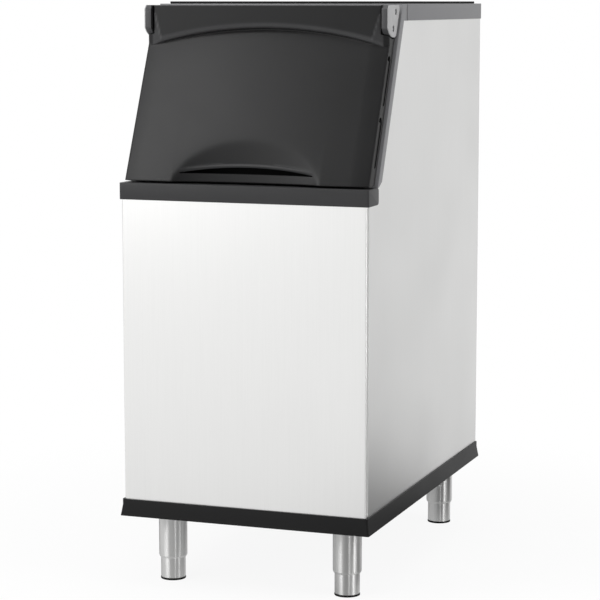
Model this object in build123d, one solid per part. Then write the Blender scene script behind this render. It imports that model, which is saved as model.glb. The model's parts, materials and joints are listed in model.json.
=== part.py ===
"""Insulated ice storage bin with a sloping top-hinged door, on four levelling legs.

Millimetres. +X is to the right of someone who faces the door, +Y runs to the back, +Z is up.
The origin is on the floor, under the middle of the cabinet.
In the side view a point is given as (distance behind the front steel face, height above the floor).
"""
from build123d import *
import math
import os

# Cabinet
cabinet_width = 559.0
cabinet_depth = 864.0
cabinet_height = 1113.0
leg_height = 158.0
front_height = 732.0
panel_thickness = 1.2
corner_radius = 4.0
corner_seam = 10.0
panel_return = 24.0
ledge_flange = 40.0
rear_flange = 16.0
side_wall = 54.0
front_wall = 80.0
back_wall = 50.0
floor_wall = 100.0
floor_fall = 25.0
moulding_thickness = 3.0

# Sloping mouth: its seal plane starts on the sill and leans back
slope_angle = 24.0
slope_start = 57.0
mouth_start = 22.0
mouth_length = 308.0
mouth_width = 410.0
mouth_radius = 30.0
mouth_return = 30.0
header_height = 79.0
header_depth = 218.0
liner_radius = 40.0

# Black base skirt
skirt_height = 37.0
skirt_straight = 12.0
skirt_thickness = 3.5
skirt_flare = 7.4
skirt_ledge = 24.0
skirt_ledge_thickness = 4.0

# Sill, slope trims and top frame
sill_height = 36.0
sill_wrap = 65.0
sill_end_radius = 8.0
trim_width = 22.0
trim_corner_depth = 200.0
band_height = 36.0
band_thickness = 4.0
band_corner_radius = 12.0
butt_gap = 0.5
overcut = 1.0
seal_height = 5.0
seal_width = 12.0
seal_inset = 10.0
seal_front = 186.0
seal_back = 8.0

# Door
door_side_gap = 2.5
door_bottom_gap = 4.0
door_top_gap = 3.0
door_setback = 7.0
door_face_angle = 24.7
brow_height = 99.0
brow_lean = 4.6
brow_overlap = 12.0
arch_drop = 50.0
arch_rise = 41.0
arch_chamfer = 5.0
facet_inner = 240.0
facet_outer = 259.0
facet_low = 82.0
facet_high = 18.0
facet_depth = 7.0
crown_depth = 3.0
border_width = 45.0
border_drop = 4.0
door_wall = 3.5
door_side_wall = 8.0
seal_gap = 7.0
seal_clearance = 0.3

# Grip in the door's lower edge
scoop_height = 86.0
scoop_half_width = 165.0
scoop_depth = 22.6
scoop_tilt = 12.0
grip_half_width = 150.0
grip_foot = 18.0
grip_edge = 2.0
grip_rise = 14.0
grip_back = 50.0
grip_pocket_half_width = 110.0
grip_pocket_top = 52.0
grip_pocket_front = 43.0

# Recesses in the door's side faces
recess_width = 18.0
recess_length = 112.0
recess_depth = 4.0
recess_first = 34.0
recess_pitch = 139.0
recess_count = 2
recess_end_flat = 1.0
notch_length = 10.0
notch_depth = 6.0
notch_margin = 4.0

# Door seal and inner panel
door_seal_width = 10.0
door_seal_margin = 7.0
panel_clearance = 0.2
plug_margin = 15.0
plug_foot = 25.0
plug_depth = 12.0
plug_draft = 12.0
window_start = 5.0
window_length = 325.0

# Hinge
pivot_drop = 23.0
pivot_offset = 41.0
pin_radius = 5.0
pin_length = 25.0
pin_clearance = 0.05
pin_end_gap = 1.0
bushing_radius = 8.0
bushing_boss_radius = 12.0
hinge_plate_thickness = 2.5
hinge_plate_radius = 46.0
hinge_plate_gap = 1.0
hinge_flange_margin = 11.5
flange_screw_inset = 12.0
flange_screw_edge = 7.5
flange_screw_pitch = 20.0
hinge_cover_width = 15.0
hinge_cover_radius = 48.0
hinge_cover_front = 133.0
hinge_cover_chamfer = 8.0
ear_clearance = 2.0
cover_recess_radius = 7.0
cover_recess_depth = 4.0
upper_screw_back = 15.8
upper_screw_rise = 5.6
lower_screw_forward = 1.4
lower_screw_drop = 29.8
cover_screw_radius = 2.0
cover_screw_head = 4.0
cover_screw_head_height = 2.4

# Legs
leg_inset_x = 74.5
leg_inset_front = 95.0
leg_inset_back = 60.0
leg_radius = 31.5
leg_wall = 1.5
leg_end = 50.0
leg_shoulder = 8.0
leg_cap = 6.0
stud_radius = 6.35
stud_length = 26.0
socket_radius = 16.0
socket_height = 30.0
insert_drop = 31.0
insert_height = 15.0
thread_radius = 8.0
thread_clearance = 0.05
foot_radius = 27.5
foot_clearance = 0.3
foot_top = 75.0
foot_floor = 9.0
foot_wall = 3.0
foot_edge = 1.0
stem_rise = 11.0
stem_chamfer = 1.5
pad_height = 3.0
pad_radius = 28.0
pad_edge = 0.6

# Bottom pan and small screws
pan_thickness = 1.5
pan_flange = 20.0
fit_gap = 0.1
screw_radius = 2.0
screw_head_radius = 4.0
screw_head_height = 1.6
screw_length = 12.0
back_screw_count = 6
back_screw_margin = 60.0
skirt_screw_count = 4

# Drain
sump_half_width = 45.0
sump_length = 74.0
sump_depth = 34.0
strainer_lip = 7.0
strainer_thickness = 2.0
strainer_hole_radius = 2.5
strainer_hole_pitch = 12.0
strainer_gap = 8.0
strainer_margin = 5.0
strainer_recess = 1.0
drain_drop = 10.0
drain_bore_radius = 12.2
drain_tube_radius = 17.0
drain_flange_radius = 24.0
drain_flange_thickness = 4.0
drain_nut_width = 44.0
drain_nut_thickness = 5.0

# Ice baffle behind the mouth
baffle_thickness = 3.0
baffle_half_width = 200.0
baffle_setback = 225.0
baffle_flange = 30.0
baffle_drop = 150.0
baffle_lip = 14.0
baffle_screw_x = 140.0
baffle_screw_back = 21.0
thumb_radius = 8.0
thumb_height = 4.8

# Levels and lines that follow from the sizes above
half_width = cabinet_width / 2
front_y = -cabinet_depth / 2
top_z = leg_height + cabinet_height
sill_top = leg_height + front_height
sill_bottom = sill_top - sill_height
ledge_z = sill_top - moulding_thickness
plate_z = top_z - moulding_thickness
shelf_z = leg_height + skirt_ledge_thickness
pan_top = shelf_z + pan_thickness
stem_top = shelf_z - insert_drop + stem_rise
inner_half = half_width - panel_thickness
slope = math.radians(slope_angle)
slope_tan = math.tan(slope)
slope_cos = math.cos(slope)
slope_sin = math.sin(slope)
face_tan = math.tan(math.radians(door_face_angle))
brow_tan = math.tan(math.radians(brow_lean))
door_top = top_z - door_top_gap
door_bottom = sill_top + door_bottom_gap
door_half = half_width - door_side_gap
bend_z = door_top - brow_height
bend_y = door_setback + (bend_z - door_bottom) * face_tan
pivot_z = top_z - pivot_drop
trim_edge_x = mouth_width / 2 + moulding_thickness
flange_low_x = trim_edge_x + hinge_flange_margin
neck_half = half_width - hinge_cover_width - hinge_plate_thickness - hinge_plate_gap
ear_radius = hinge_cover_radius + ear_clearance
cavity_half = half_width - side_wall
cavity_back = cabinet_depth - back_wall
mouth_end = mouth_start + mouth_length
header_y = slope_start + header_depth
header_z = top_z - header_height
floor_back = shelf_z + floor_wall - floor_fall
floor_front = floor_back + floor_fall


def seal_y(z, off=0.0):
    """Distance behind the front face of the seal plane at height z, off millimetres out of it."""
    return slope_start + (z - sill_top) * slope_tan - off / slope_cos


pivot_y = seal_y(pivot_z, pivot_offset)
pivot_s = (pivot_z - sill_top) * slope_cos + (pivot_y - slope_start) * slope_sin
slope_top = (plate_z - sill_top) / slope_cos
seal_plane = Plane(
    origin=(0, front_y + slope_start, sill_top),
    x_dir=(1, 0, 0),
    z_dir=(0, -slope_cos, slope_sin),
)


def side_slab(points, x0, x1):
    """Solid with a side-view outline, from x0 to x1."""
    face = Plane.YZ * make_face(Polyline(*points, close=True))
    return Pos(x0, front_y, 0) * extrude(face, x1 - x0)


def side_face_slab(face, x0, x1):
    """The same for a side-view face that already holds arcs."""
    return Pos(x0, front_y, 0) * extrude(Plane.YZ * face, x1 - x0)


def block(x0, x1, y0, y1, z0, z1):
    """Box between two corners, with y behind the front face."""
    size = Box(x1 - x0, y1 - y0, z1 - z0, align=(Align.MIN, Align.MIN, Align.MIN))
    return Pos(x0, front_y + y0, z0) * size


def plan_slab(width, y0, y1, radius, z0, z1):
    """Upright slab with rounded corners in plan, centred on x = 0."""
    outline = RectangleRounded(width, y1 - y0, radius)
    return Pos(0, front_y + (y0 + y1) / 2, z0) * extrude(outline, z1 - z0)


def slope_slab(x0, x1, s0, s1, off0, off1):
    """Box on the seal plane: s runs up the slope from the sill, off runs out of the plane."""
    size = Box(x1 - x0, s1 - s0, off1 - off0, align=(Align.MIN, Align.MIN, Align.MIN))
    return seal_plane * (Pos(x0, s0, off0) * size)


def slope_plate(width, s0, s1, radius, off0, off1, draft=0.0):
    """Plate with rounded corners on the seal plane, centred on x = 0."""
    outline = RectangleRounded(width, s1 - s0, radius)
    plate = extrude(outline, off1 - off0, taper=draft)
    return seal_plane * (Pos(0, (s0 + s1) / 2, off0) * plate)


def cross_pin(y, z, radius, x0, x1):
    """Round bar along X."""
    bar = Rot(0, 90, 0) * Cylinder(radius, x1 - x0, align=(Align.CENTER, Align.CENTER, Align.MIN))
    return Pos(x0, front_y + y, z) * bar


def depth_pin(x, z, radius, y0, y1):
    """Round bar along Y."""
    bar = Rot(-90, 0, 0) * Cylinder(radius, y1 - y0, align=(Align.CENTER, Align.CENTER, Align.MIN))
    return Pos(x, front_y + y0, z) * bar


def upright_pin(x, y, radius, z0, z1):
    """Round bar along Z."""
    bar = Cylinder(radius, z1 - z0, align=(Align.CENTER, Align.CENTER, Align.MIN))
    return Pos(x, front_y + y, z0) * bar


def turned(points, x, y):
    """Body of revolution from a half section of (radius, height) points, stood at x, y."""
    section = Plane.XZ * make_face(Polyline(*points, close=True))
    return Pos(x, front_y + y, 0) * revolve(section, Axis.Z)


def cabinet_core(off, top, half, back=panel_thickness):
    """Everything inside the steel, under a slope plane off millimetres out and a flat top."""
    front = panel_thickness
    floor = shelf_z
    rear = cabinet_depth - back
    points = [
        (front, floor),
        (front, ledge_z),
        (seal_y(ledge_z, off), ledge_z),
        (seal_y(top, off), top),
        (rear, top),
        (rear, floor),
    ]
    corners = plan_slab(2 * half, front, 2 * cabinet_depth, corner_radius, floor, top)
    return side_slab(points, -half, half) & corners


# Steel cabinet
def make_front_panel():
    width = 2 * inner_half
    deep = 2 * panel_return
    outer = plan_slab(width, 0, deep, corner_radius, shelf_z, ledge_z)
    hollow_width = width - 2 * panel_thickness
    hollow_radius = corner_radius - panel_thickness
    hollow_top = ledge_z - panel_thickness
    hollow = plan_slab(
        hollow_width, panel_thickness, deep, hollow_radius, shelf_z, hollow_top
    )
    keep = block(-half_width, half_width, 0, panel_return, shelf_z, ledge_z)
    flange_keep = block(-cavity_half, cavity_half, 0, ledge_flange, hollow_top, ledge_z)
    return (outer - hollow) & (keep + flange_keep)


def make_side_panel(side):
    rear = cabinet_depth - panel_thickness
    points = [
        (corner_seam, shelf_z),
        (corner_seam, ledge_z),
        (seal_y(ledge_z, -moulding_thickness), ledge_z),
        (seal_y(plate_z, -moulding_thickness), plate_z),
        (rear, plate_z),
        (rear, shelf_z),
    ]
    x_in, x_out = inner_half, half_width
    sheet = side_slab(points, x_in, x_out)
    flange = block(
        x_out - rear_flange, x_in, rear - panel_thickness, rear, shelf_z, plate_z
    )
    panel = sheet + flange
    return panel if side > 0 else mirror(panel, Plane.YZ)


def make_back_panel():
    rear = cabinet_depth - panel_thickness
    return block(-half_width, half_width, rear, cabinet_depth, shelf_z, plate_z)


def make_bottom_pan():
    half = inner_half - panel_thickness - fit_gap
    front = panel_thickness + fit_gap
    rear = cabinet_depth - 2 * panel_thickness - fit_gap
    outer = plan_slab(2 * half, front, rear, corner_radius, shelf_z, shelf_z + pan_flange)
    hollow = plan_slab(
        2 * (half - pan_thickness),
        front + pan_thickness,
        rear - pan_thickness,
        corner_radius - pan_thickness,
        pan_top,
        shelf_z + pan_flange,
    )
    return outer - hollow


def make_base_skirt():
    top = leg_height + skirt_height
    knee = top - skirt_straight

    def ring_outline(out):
        return RectangleRounded(cabinet_width + 2 * out, cabinet_depth + 2 * out, corner_radius)

    upper = Pos(0, 0, knee) * extrude(ring_outline(skirt_thickness), skirt_straight)
    lower = loft(
        [
            Pos(0, 0, leg_height) * ring_outline(skirt_flare),
            Pos(0, 0, knee) * ring_outline(skirt_thickness),
        ]
    )
    well = Pos(0, 0, shelf_z) * extrude(ring_outline(0), skirt_height)
    well += block(
        -half_width, half_width, cabinet_depth / 2, cabinet_depth, shelf_z, 2 * top
    )
    hole = Pos(0, 0, leg_height) * extrude(ring_outline(-skirt_ledge), skirt_ledge_thickness)
    return upper + lower - well - hole


# Liner and foam
def cavity(grow):
    """The ice space, with its walls moved out by grow."""
    deep = mouth_return - grow
    points = [
        (front_wall, floor_front),
        (front_wall, seal_crossing()),
        (seal_y(header_z, -deep), header_z),
        (header_y, header_z),
        (header_y, top_z + header_height),
        (cavity_back, top_z + header_height),
        (cavity_back, floor_back),
    ]
    profile = make_face(Polyline(*points, close=True))
    low = profile.vertices().sort_by(Axis.Y)[:2]
    profile = fillet(low, liner_radius)
    if grow:
        profile = offset(profile, grow, kind=Kind.INTERSECTION)
    half = cavity_half + grow
    radius = liner_radius + grow
    space = side_face_slab(profile, -half, half)
    space &= plan_slab(
        2 * half, front_wall - grow, cavity_back + grow, radius, leg_height, 2 * top_z
    )
    tall = 2 * top_z
    low_z = floor_back - grow
    arch = RectangleRounded(2 * half, tall, radius)
    space &= Pos(0, front_y, low_z + tall / 2) * extrude(Plane.XZ * arch, -cabinet_depth)
    space += slope_plate(
        mouth_width + 2 * grow,
        mouth_start - grow,
        mouth_end + grow,
        mouth_radius + grow,
        -2 * mouth_return,
        mouth_return,
    )
    sump_front = cavity_back - sump_length
    space += block(
        -sump_half_width - grow,
        sump_half_width + grow,
        sump_front - grow,
        cavity_back + grow,
        floor_back - sump_depth - grow,
        floor_back + liner_radius,
    )
    space += block(
        -sump_half_width - strainer_lip - grow,
        sump_half_width + strainer_lip + grow,
        sump_front - strainer_lip - grow,
        cavity_back + grow,
        strainer_z() - grow,
        floor_back + liner_radius,
    )
    return space


def seal_crossing():
    """Height at which the inner face of the front wall meets the back of the mouth."""
    return sill_top + (front_wall - slope_start - mouth_return / slope_cos) / slope_tan


def strainer_z():
    return floor_back - strainer_thickness - strainer_recess


def make_liner(space, grown):
    rear = 2 * panel_thickness
    under_plate = cabinet_core(-moulding_thickness, plate_z, inner_half, back=rear)
    under_rim = cabinet_core(
        -2 * moulding_thickness, plate_z - moulding_thickness, inner_half, back=rear
    )
    walls = grown & under_plate
    rim = under_plate - under_rim
    return walls + rim - space


def make_cabinet_foam(grown, neighbours):
    foam = cabinet_core(-2 * moulding_thickness, plate_z - moulding_thickness, inner_half)
    foam -= grown
    for piece in neighbours:
        foam -= piece
    return foam


# Black trims
def make_sill():
    out = moulding_thickness
    outer = plan_slab(
        cabinet_width + 2 * out, -out, 2 * sill_wrap, corner_radius, sill_bottom, sill_top
    )
    outer &= block(-cabinet_width, cabinet_width, -out, sill_wrap, sill_bottom, sill_top)
    rear_edges = outer.edges().filter_by(Axis.X).group_by(Axis.Y)[-1]
    outer = fillet(rear_edges, sill_end_radius)
    well = plan_slab(cabinet_width, 0, 4 * sill_wrap, corner_radius, sill_bottom, ledge_z)
    beyond = side_slab(
        [
            (seal_y(ledge_z, -moulding_thickness), ledge_z),
            (4 * sill_wrap, ledge_z),
            (4 * sill_wrap, sill_top + overcut),
            (seal_y(sill_top + overcut, -moulding_thickness), sill_top + overcut),
        ],
        -half_width,
        half_width,
    )
    lip = slope_slab(
        -trim_edge_x,
        trim_edge_x,
        0,
        mouth_start - moulding_thickness,
        -moulding_thickness,
        0,
    )
    return outer - well - beyond + lip


def make_slope_trim(side):
    out_half = half_width + moulding_thickness
    corner_y = slope_start + trim_corner_depth
    band_z = top_z - band_height
    notch_z = sill_top + trim_width / 2
    points = [
        (seal_y(sill_top), sill_top),
        (seal_y(top_z), top_z),
        (corner_y, top_z),
        (corner_y, band_z),
        (seal_y(band_z, -trim_width), band_z),
        (seal_y(notch_z, -trim_width), notch_z),
        (sill_wrap, sill_top),
    ]
    outer_leg = side_slab(points, half_width, out_half)
    front_points = [
        (seal_y(sill_top, -moulding_thickness), sill_top),
        (seal_y(sill_top), sill_top),
        (seal_y(plate_z), plate_z),
        (seal_y(plate_z, -moulding_thickness), plate_z),
    ]
    front_leg = side_slab(front_points, trim_edge_x, half_width)
    trim = outer_leg + front_leg
    return trim if side > 0 else mirror(trim, Plane.YZ)


def make_header_trim():
    low = mouth_end + moulding_thickness
    half = trim_edge_x
    strip = slope_slab(-half, half, low, slope_top + band_height, -moulding_thickness, 0)
    return strip & block(-half, half, 0, cabinet_depth, sill_top, plate_z)


def make_top_frame():
    corner_y = slope_start + trim_corner_depth + butt_gap
    rear = cabinet_depth + band_thickness
    out_half = half_width + band_thickness
    band_z = top_z - band_height
    outer = block(-out_half, out_half, corner_y, rear, band_z, top_z)
    corners = outer.edges().filter_by(Axis.Z).group_by(Axis.Y)[-1]
    outer = fillet(corners, band_corner_radius)
    well = block(-half_width, half_width, corner_y, cabinet_depth, band_z, plate_z)
    front_plate = side_slab(
        [
            (seal_y(plate_z), plate_z),
            (seal_y(top_z), top_z),
            (corner_y + overcut, top_z),
            (corner_y + overcut, plate_z),
        ],
        -half_width,
        half_width,
    )
    opening = plan_slab(
        2 * cavity_half, header_y, cavity_back, moulding_thickness, band_z, top_z
    )
    return outer - well + front_plate - opening


def make_top_seal():
    half = half_width - seal_inset
    front = slope_start + seal_front
    rear = cabinet_depth - seal_back
    outer = plan_slab(2 * half, front, rear, seal_width, top_z, top_z + seal_height)
    inner = plan_slab(
        2 * (half - seal_width),
        front + seal_width,
        rear - seal_width,
        seal_width / 2,
        top_z,
        top_z + seal_height,
    )
    return outer - inner


# Door
def door_profile():
    """Side-view face of the door body, from its leaning front to its back on the seal gap."""
    radius = pivot_offset - seal_gap
    top_angle = math.asin((door_top - pivot_z) / radius)
    middle_angle = (top_angle - slope) / 2

    def on_arc(angle):
        return (pivot_y + radius * math.cos(angle), pivot_z + radius * math.sin(angle))

    foot_front = (door_setback, door_bottom)
    top_front = (door_setback + (door_top - door_bottom) * face_tan, door_top)
    top_back = on_arc(top_angle)
    tangent = on_arc(-slope)
    foot_back = (seal_y(door_bottom, seal_gap), door_bottom)
    edges = [
        Line(foot_front, top_front),
        Line(top_front, top_back),
        ThreePointArc(top_back, on_arc(middle_angle), tangent),
        Line(tangent, foot_back),
        Line(foot_back, foot_front),
    ]
    return make_face(Curve(edges))


def crown(inset, half):
    """Long bar whose section gives the door face its crown and its sloping side borders."""
    lean = math.radians(door_face_angle)
    plane = Plane(
        origin=(0, front_y + door_setback, door_bottom),
        x_dir=(1, 0, 0),
        z_dir=(0, math.sin(lean), math.cos(lean)),
    )
    border_x = door_half - border_width
    deep = cabinet_depth / 4
    low = -cabinet_depth / 4
    border_y = crown_depth + inset
    half_edge_y = border_y + (half - border_x) / border_width * border_drop
    outline = make_face(
        Curve(
            [
                ThreePointArc((-border_x, border_y), (0, inset), (border_x, border_y)),
                Line((border_x, border_y), (half, half_edge_y)),
                Line((half, half_edge_y), (half, deep)),
                Line((half, deep), (-half, deep)),
                Line((-half, deep), (-half, half_edge_y)),
                Line((-half, half_edge_y), (-border_x, border_y)),
            ]
        )
    )
    return plane * (Pos(0, 0, low) * extrude(outline, cabinet_depth))


def scoop(grow):
    """Upright elliptical bar that hollows the lower middle of the door face."""
    tilt = math.radians(scoop_tilt)
    top = door_bottom + scoop_height
    apex_y = door_setback + scoop_height * face_tan
    plane = Plane(
        origin=(0, front_y + apex_y - scoop_depth, top),
        x_dir=(1, 0, 0),
        z_dir=(0, math.sin(tilt), math.cos(tilt)),
    )
    outline = Ellipse(scoop_half_width + grow, scoop_depth + grow)
    return plane * (Pos(0, 0, -2 * scoop_height) * extrude(outline, 3 * scoop_height))


def grip(grow):
    """Crescent slot in the scoop, with a pocket behind its upper lip for the fingers."""
    low = door_bottom + grip_foot - grow
    edge = door_bottom + grip_foot + grip_edge + grow
    peak = door_bottom + grip_foot + grip_rise + grow
    half = grip_half_width + grow
    crescent = make_face(
        Curve(
            [
                Line((-half, low), (half, low)),
                Line((half, low), (half, edge)),
                ThreePointArc((half, edge), (0, peak), (-half, edge)),
                Line((-half, edge), (-half, low)),
            ]
        )
    )
    depth = grip_back + grow
    slot = Pos(0, front_y, 0) * extrude(Plane.XZ * crescent, -depth)
    pocket_half = grip_pocket_half_width + grow
    pocket = block(
        -pocket_half,
        pocket_half,
        grip_pocket_front - grow,
        depth,
        low,
        door_bottom + grip_pocket_top + grow,
    )
    return slot + pocket


def brow_facet(side, inset):
    """Block that lies in front of the flat facet at one lower corner of the brow."""

    def on_brow(x, drop, sunk=0.0):
        z = door_top - drop
        return Vector(side * x, front_y + bend_y + (z - bend_z) * brow_tan + sunk, z)

    inner = on_brow(facet_inner, facet_low)
    peak = on_brow(facet_outer, facet_high)
    outer = on_brow(facet_outer, facet_low, facet_depth)
    normal = (outer - inner).cross(peak - inner).normalized() * side
    plane = Plane(origin=inner - normal * inset, x_dir=peak - inner, z_dir=normal)
    span = 4 * brow_height
    return plane * Box(span, span, span, align=(Align.CENTER, Align.CENTER, Align.MIN))


def door_body(inset):
    """Door without its grip, moved in by inset: 0 gives the outside, the wall the inside."""
    half = door_half - (door_side_wall if inset else 0.0)
    profile = door_profile()
    brow_points = [
        (bend_y, bend_z),
        (bend_y + brow_height * brow_tan, door_top),
        (bend_y + brow_height * face_tan + brow_overlap, door_top),
        (bend_y + brow_overlap, bend_z),
    ]
    brow_face = make_face(Polyline(*brow_points, close=True))
    if inset:
        profile = offset(profile, -inset, kind=Kind.INTERSECTION)
        brow_face = offset(brow_face, -inset, kind=Kind.INTERSECTION)
    body = side_face_slab(profile, -half, half) & crown(inset, half)
    arch_z = door_top - arch_drop
    arch_radius = (door_half ** 2 + arch_rise ** 2) / (2 * arch_rise)
    brow = side_face_slab(brow_face, -half, half)
    brow -= depth_pin(0, arch_z - arch_radius, arch_radius + inset, 0, cabinet_depth)
    if not inset:
        arch_edges = brow.edges().filter_by(GeomType.LINE, reverse=True)
        brow = chamfer(arch_edges.sort_by(Axis.Y)[0], arch_chamfer)
    for side in (-1, 1):
        brow -= brow_facet(side, inset)
    form = body + brow
    for side in (-1, 1):
        inner = side * (neck_half - inset)
        outer = side * (half_width + ear_radius)
        low_x, high_x = sorted((inner, outer))
        form -= cross_pin(pivot_y, pivot_z, ear_radius + inset, low_x, high_x)
    return form - scoop(inset)


def bushing_bosses(radius, depth):
    bosses = cross_pin(pivot_y, pivot_z, radius, neck_half - depth, neck_half)
    return bosses + mirror(bosses, Plane.YZ)


def side_recess(side, index):
    """One long shallow recess in the side face of the door, with a deeper notch on top."""
    low = recess_first + index * recess_pitch
    mid_off = seal_gap + recess_width
    outer = door_half * side
    deep = outer - side * recess_depth
    notch = outer - side * notch_depth
    x0, x1 = sorted((outer, deep))
    n0, n1 = sorted((outer, notch))
    off0 = mid_off - recess_width / 2
    off1 = mid_off + recess_width / 2
    pocket = slope_slab(x0, x1, low, low + recess_length, off0, off1)
    upright = pocket.edges().filter_by(Axis.X)
    pocket = fillet(upright, recess_width / 2 - recess_end_flat)
    top = low + recess_length
    notch_off0, notch_off1 = off0 + notch_margin, off1 - notch_margin
    return pocket + slope_slab(n0, n1, top - notch_length, top, notch_off0, notch_off1)


def grip_zone(inside):
    """Where the grip insert replaces the shell: the scoop, under its slot, and all inside."""
    return inside + scoop(door_wall) + block(
        -grip_half_width,
        grip_half_width,
        0,
        cabinet_depth,
        door_bottom,
        door_bottom + grip_foot,
    )


def make_door_shell(walls, zone):
    boss_depth = pin_length + door_wall
    shell = walls - zone
    shell += bushing_bosses(bushing_boss_radius, boss_depth)
    shell -= bushing_bosses(bushing_radius, pin_length)
    shell -= door_window()
    for side in (-1, 1):
        for index in range(recess_count):
            shell -= side_recess(side, index)
    return shell


def make_grip_insert(walls, zone):
    """Moulding with the scoop and the slot, whose pocket takes the fingertips."""
    return (walls - door_window()) & zone


def door_window():
    """Opening in the shell's back that the inner panel closes."""
    window_half = door_half - door_side_wall
    return slope_slab(
        -window_half,
        window_half,
        window_start,
        window_start + window_length,
        seal_gap,
        seal_gap + door_wall,
    )


def plug(inset):
    """Shallow tapered block that reaches into the mouth behind the door."""
    half = mouth_width / 2 - plug_margin - inset
    low = mouth_start + plug_foot + inset
    high = mouth_end - plug_margin - inset
    depth = seal_gap + plug_depth - inset
    outline = RectangleRounded(2 * half, high - low, mouth_radius - inset)
    form = extrude(outline, depth, taper=plug_draft)
    turned_in = Rot(0, 180, 0) * form
    return seal_plane * (Pos(0, (low + high) / 2, seal_gap) * turned_in)


def make_inner_panel():
    half = door_half - door_side_wall - panel_clearance
    sheet = slope_slab(
        -half,
        half,
        window_start + panel_clearance,
        window_start + window_length - panel_clearance,
        seal_gap,
        seal_gap + door_wall,
    )
    hollow = plug(moulding_thickness) + throat()
    return sheet + plug(0.0) - hollow


def throat():
    """Passage through the panel's sheet, so that foam fills the plug."""
    half = mouth_width / 2 - plug_margin - moulding_thickness
    low = mouth_start + plug_foot + moulding_thickness
    high = mouth_end - plug_margin - moulding_thickness
    outline_radius = mouth_radius - moulding_thickness
    return slope_plate(2 * half, low, high, outline_radius, seal_gap, seal_gap + door_wall)


def make_door_foam(hollow):
    bosses = bushing_bosses(bushing_boss_radius, pin_length + door_wall)
    filled = hollow - bosses
    filled -= slope_slab(
        -door_half, door_half, window_start, window_start + window_length,
        seal_gap, seal_gap + door_wall,
    )
    return filled + throat() + plug(moulding_thickness)


def make_door_seal():
    margin = door_seal_margin
    wide = mouth_width + 2 * margin
    low = mouth_start - margin
    high = mouth_end + margin
    ring_out = slope_plate(
        wide + 2 * door_seal_width,
        low - door_seal_width,
        high + door_seal_width,
        mouth_radius + door_seal_width,
        seal_clearance,
        seal_gap,
    )
    ring_in = slope_plate(wide, low, high, mouth_radius, seal_clearance, seal_gap)
    return ring_out - ring_in


# Hinge
def make_hinge_plate(side):
    x_in = half_width - hinge_cover_width - hinge_plate_thickness
    x_out = half_width - hinge_cover_width
    disc = cross_pin(pivot_y, pivot_z, hinge_plate_radius, x_in, x_out)
    half_chord = math.sqrt(hinge_plate_radius ** 2 - pivot_offset ** 2)
    s0, s1 = pivot_s - half_chord, pivot_s + half_chord
    room = slope_slab(
        x_in - overcut,
        x_out + overcut,
        0,
        pivot_s + 2 * hinge_plate_radius,
        0,
        4 * hinge_plate_radius,
    )
    under_top = block(
        x_in - overcut,
        x_out + overcut,
        hinge_cover_front + hinge_plate_thickness,
        cabinet_depth,
        sill_top,
        door_top,
    )
    cheek = disc & room & under_top
    flange = slope_slab(flange_low_x, x_in, s0, s1, 0, hinge_plate_thickness)
    plate = cheek + flange
    plate -= cross_pin(
        pivot_y, pivot_z, pin_radius + pin_clearance, x_in - overcut, x_out + overcut
    )
    for y, z in cover_screw_places():
        plate -= cross_pin(y, z, cover_screw_radius, x_in - overcut, x_out + overcut)
    for x, s in flange_screw_places():
        plate -= flange_screw(x, s)
    return plate if side > 0 else mirror(plate, Plane.YZ)


def cover_screw_places():
    """Two cover screws: one high behind the pin, one low in front of it."""
    return [
        (pivot_y + upper_screw_back, pivot_z + upper_screw_rise),
        (pivot_y - lower_screw_forward, pivot_z - lower_screw_drop),
    ]


def flange_screw_places():
    x_out = half_width - hinge_cover_width - hinge_plate_thickness
    near = x_out - flange_screw_inset
    far = flange_low_x + flange_screw_edge
    half_pitch = flange_screw_pitch / 2
    return [(near, pivot_s), (far, pivot_s - half_pitch), (far, pivot_s + half_pitch)]


def flange_screw(x, s):
    """Countersunk screw whose head ends flush with the hinge flange."""
    sink = hinge_plate_thickness
    head = Cone(
        screw_radius, screw_head_radius, sink, align=(Align.CENTER, Align.CENTER, Align.MIN)
    )
    shank = Cylinder(
        screw_radius, screw_length, align=(Align.CENTER, Align.CENTER, Align.MAX)
    )
    return seal_plane * (Pos(x, s, 0) * (head + shank))


def make_hinge_cover(side):
    x_in = half_width - hinge_cover_width
    x_out = half_width
    disc = cross_pin(pivot_y, pivot_z, hinge_cover_radius, x_in, x_out)
    back = seal_y(door_top, seal_gap)
    cut = hinge_cover_chamfer
    points = [
        (hinge_cover_front, sill_top),
        (hinge_cover_front, door_top - cut),
        (hinge_cover_front + cut, door_top),
        (back - cut, door_top),
        (seal_y(door_top - cut, seal_gap), door_top - cut),
        (seal_y(sill_top, seal_gap), sill_top),
    ]
    cover = disc & side_slab(points, x_in, x_out)
    for y, z in cover_screw_places():
        cover -= cross_pin(y, z, cover_recess_radius, x_out - cover_recess_depth, x_out)
        cover -= cross_pin(y, z, cover_screw_radius, x_in, x_out)
    return cover if side > 0 else mirror(cover, Plane.YZ)


def make_hinge_pin(side):
    outer = half_width - hinge_cover_width
    inner = neck_half - pin_length + pin_end_gap
    pin = cross_pin(pivot_y, pivot_z, pin_radius, inner, outer)
    return pin if side > 0 else mirror(pin, Plane.YZ)


def make_door_bushing(side):
    sleeve = cross_pin(pivot_y, pivot_z, bushing_radius, neck_half - pin_length, neck_half)
    sleeve -= cross_pin(
        pivot_y, pivot_z, pin_radius + pin_clearance, neck_half - pin_length, neck_half
    )
    return sleeve if side > 0 else mirror(sleeve, Plane.YZ)


def make_cover_screws():
    screws = []
    seat = half_width - cover_recess_depth
    tip = half_width - hinge_cover_width - hinge_plate_thickness
    for y, z in cover_screw_places():
        head = cross_pin(y, z, cover_screw_head, seat, seat + cover_screw_head_height)
        screw = head + cross_pin(y, z, cover_screw_radius, tip, seat)
        screws += [screw, mirror(screw, Plane.YZ)]
    return Compound(children=screws)


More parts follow.
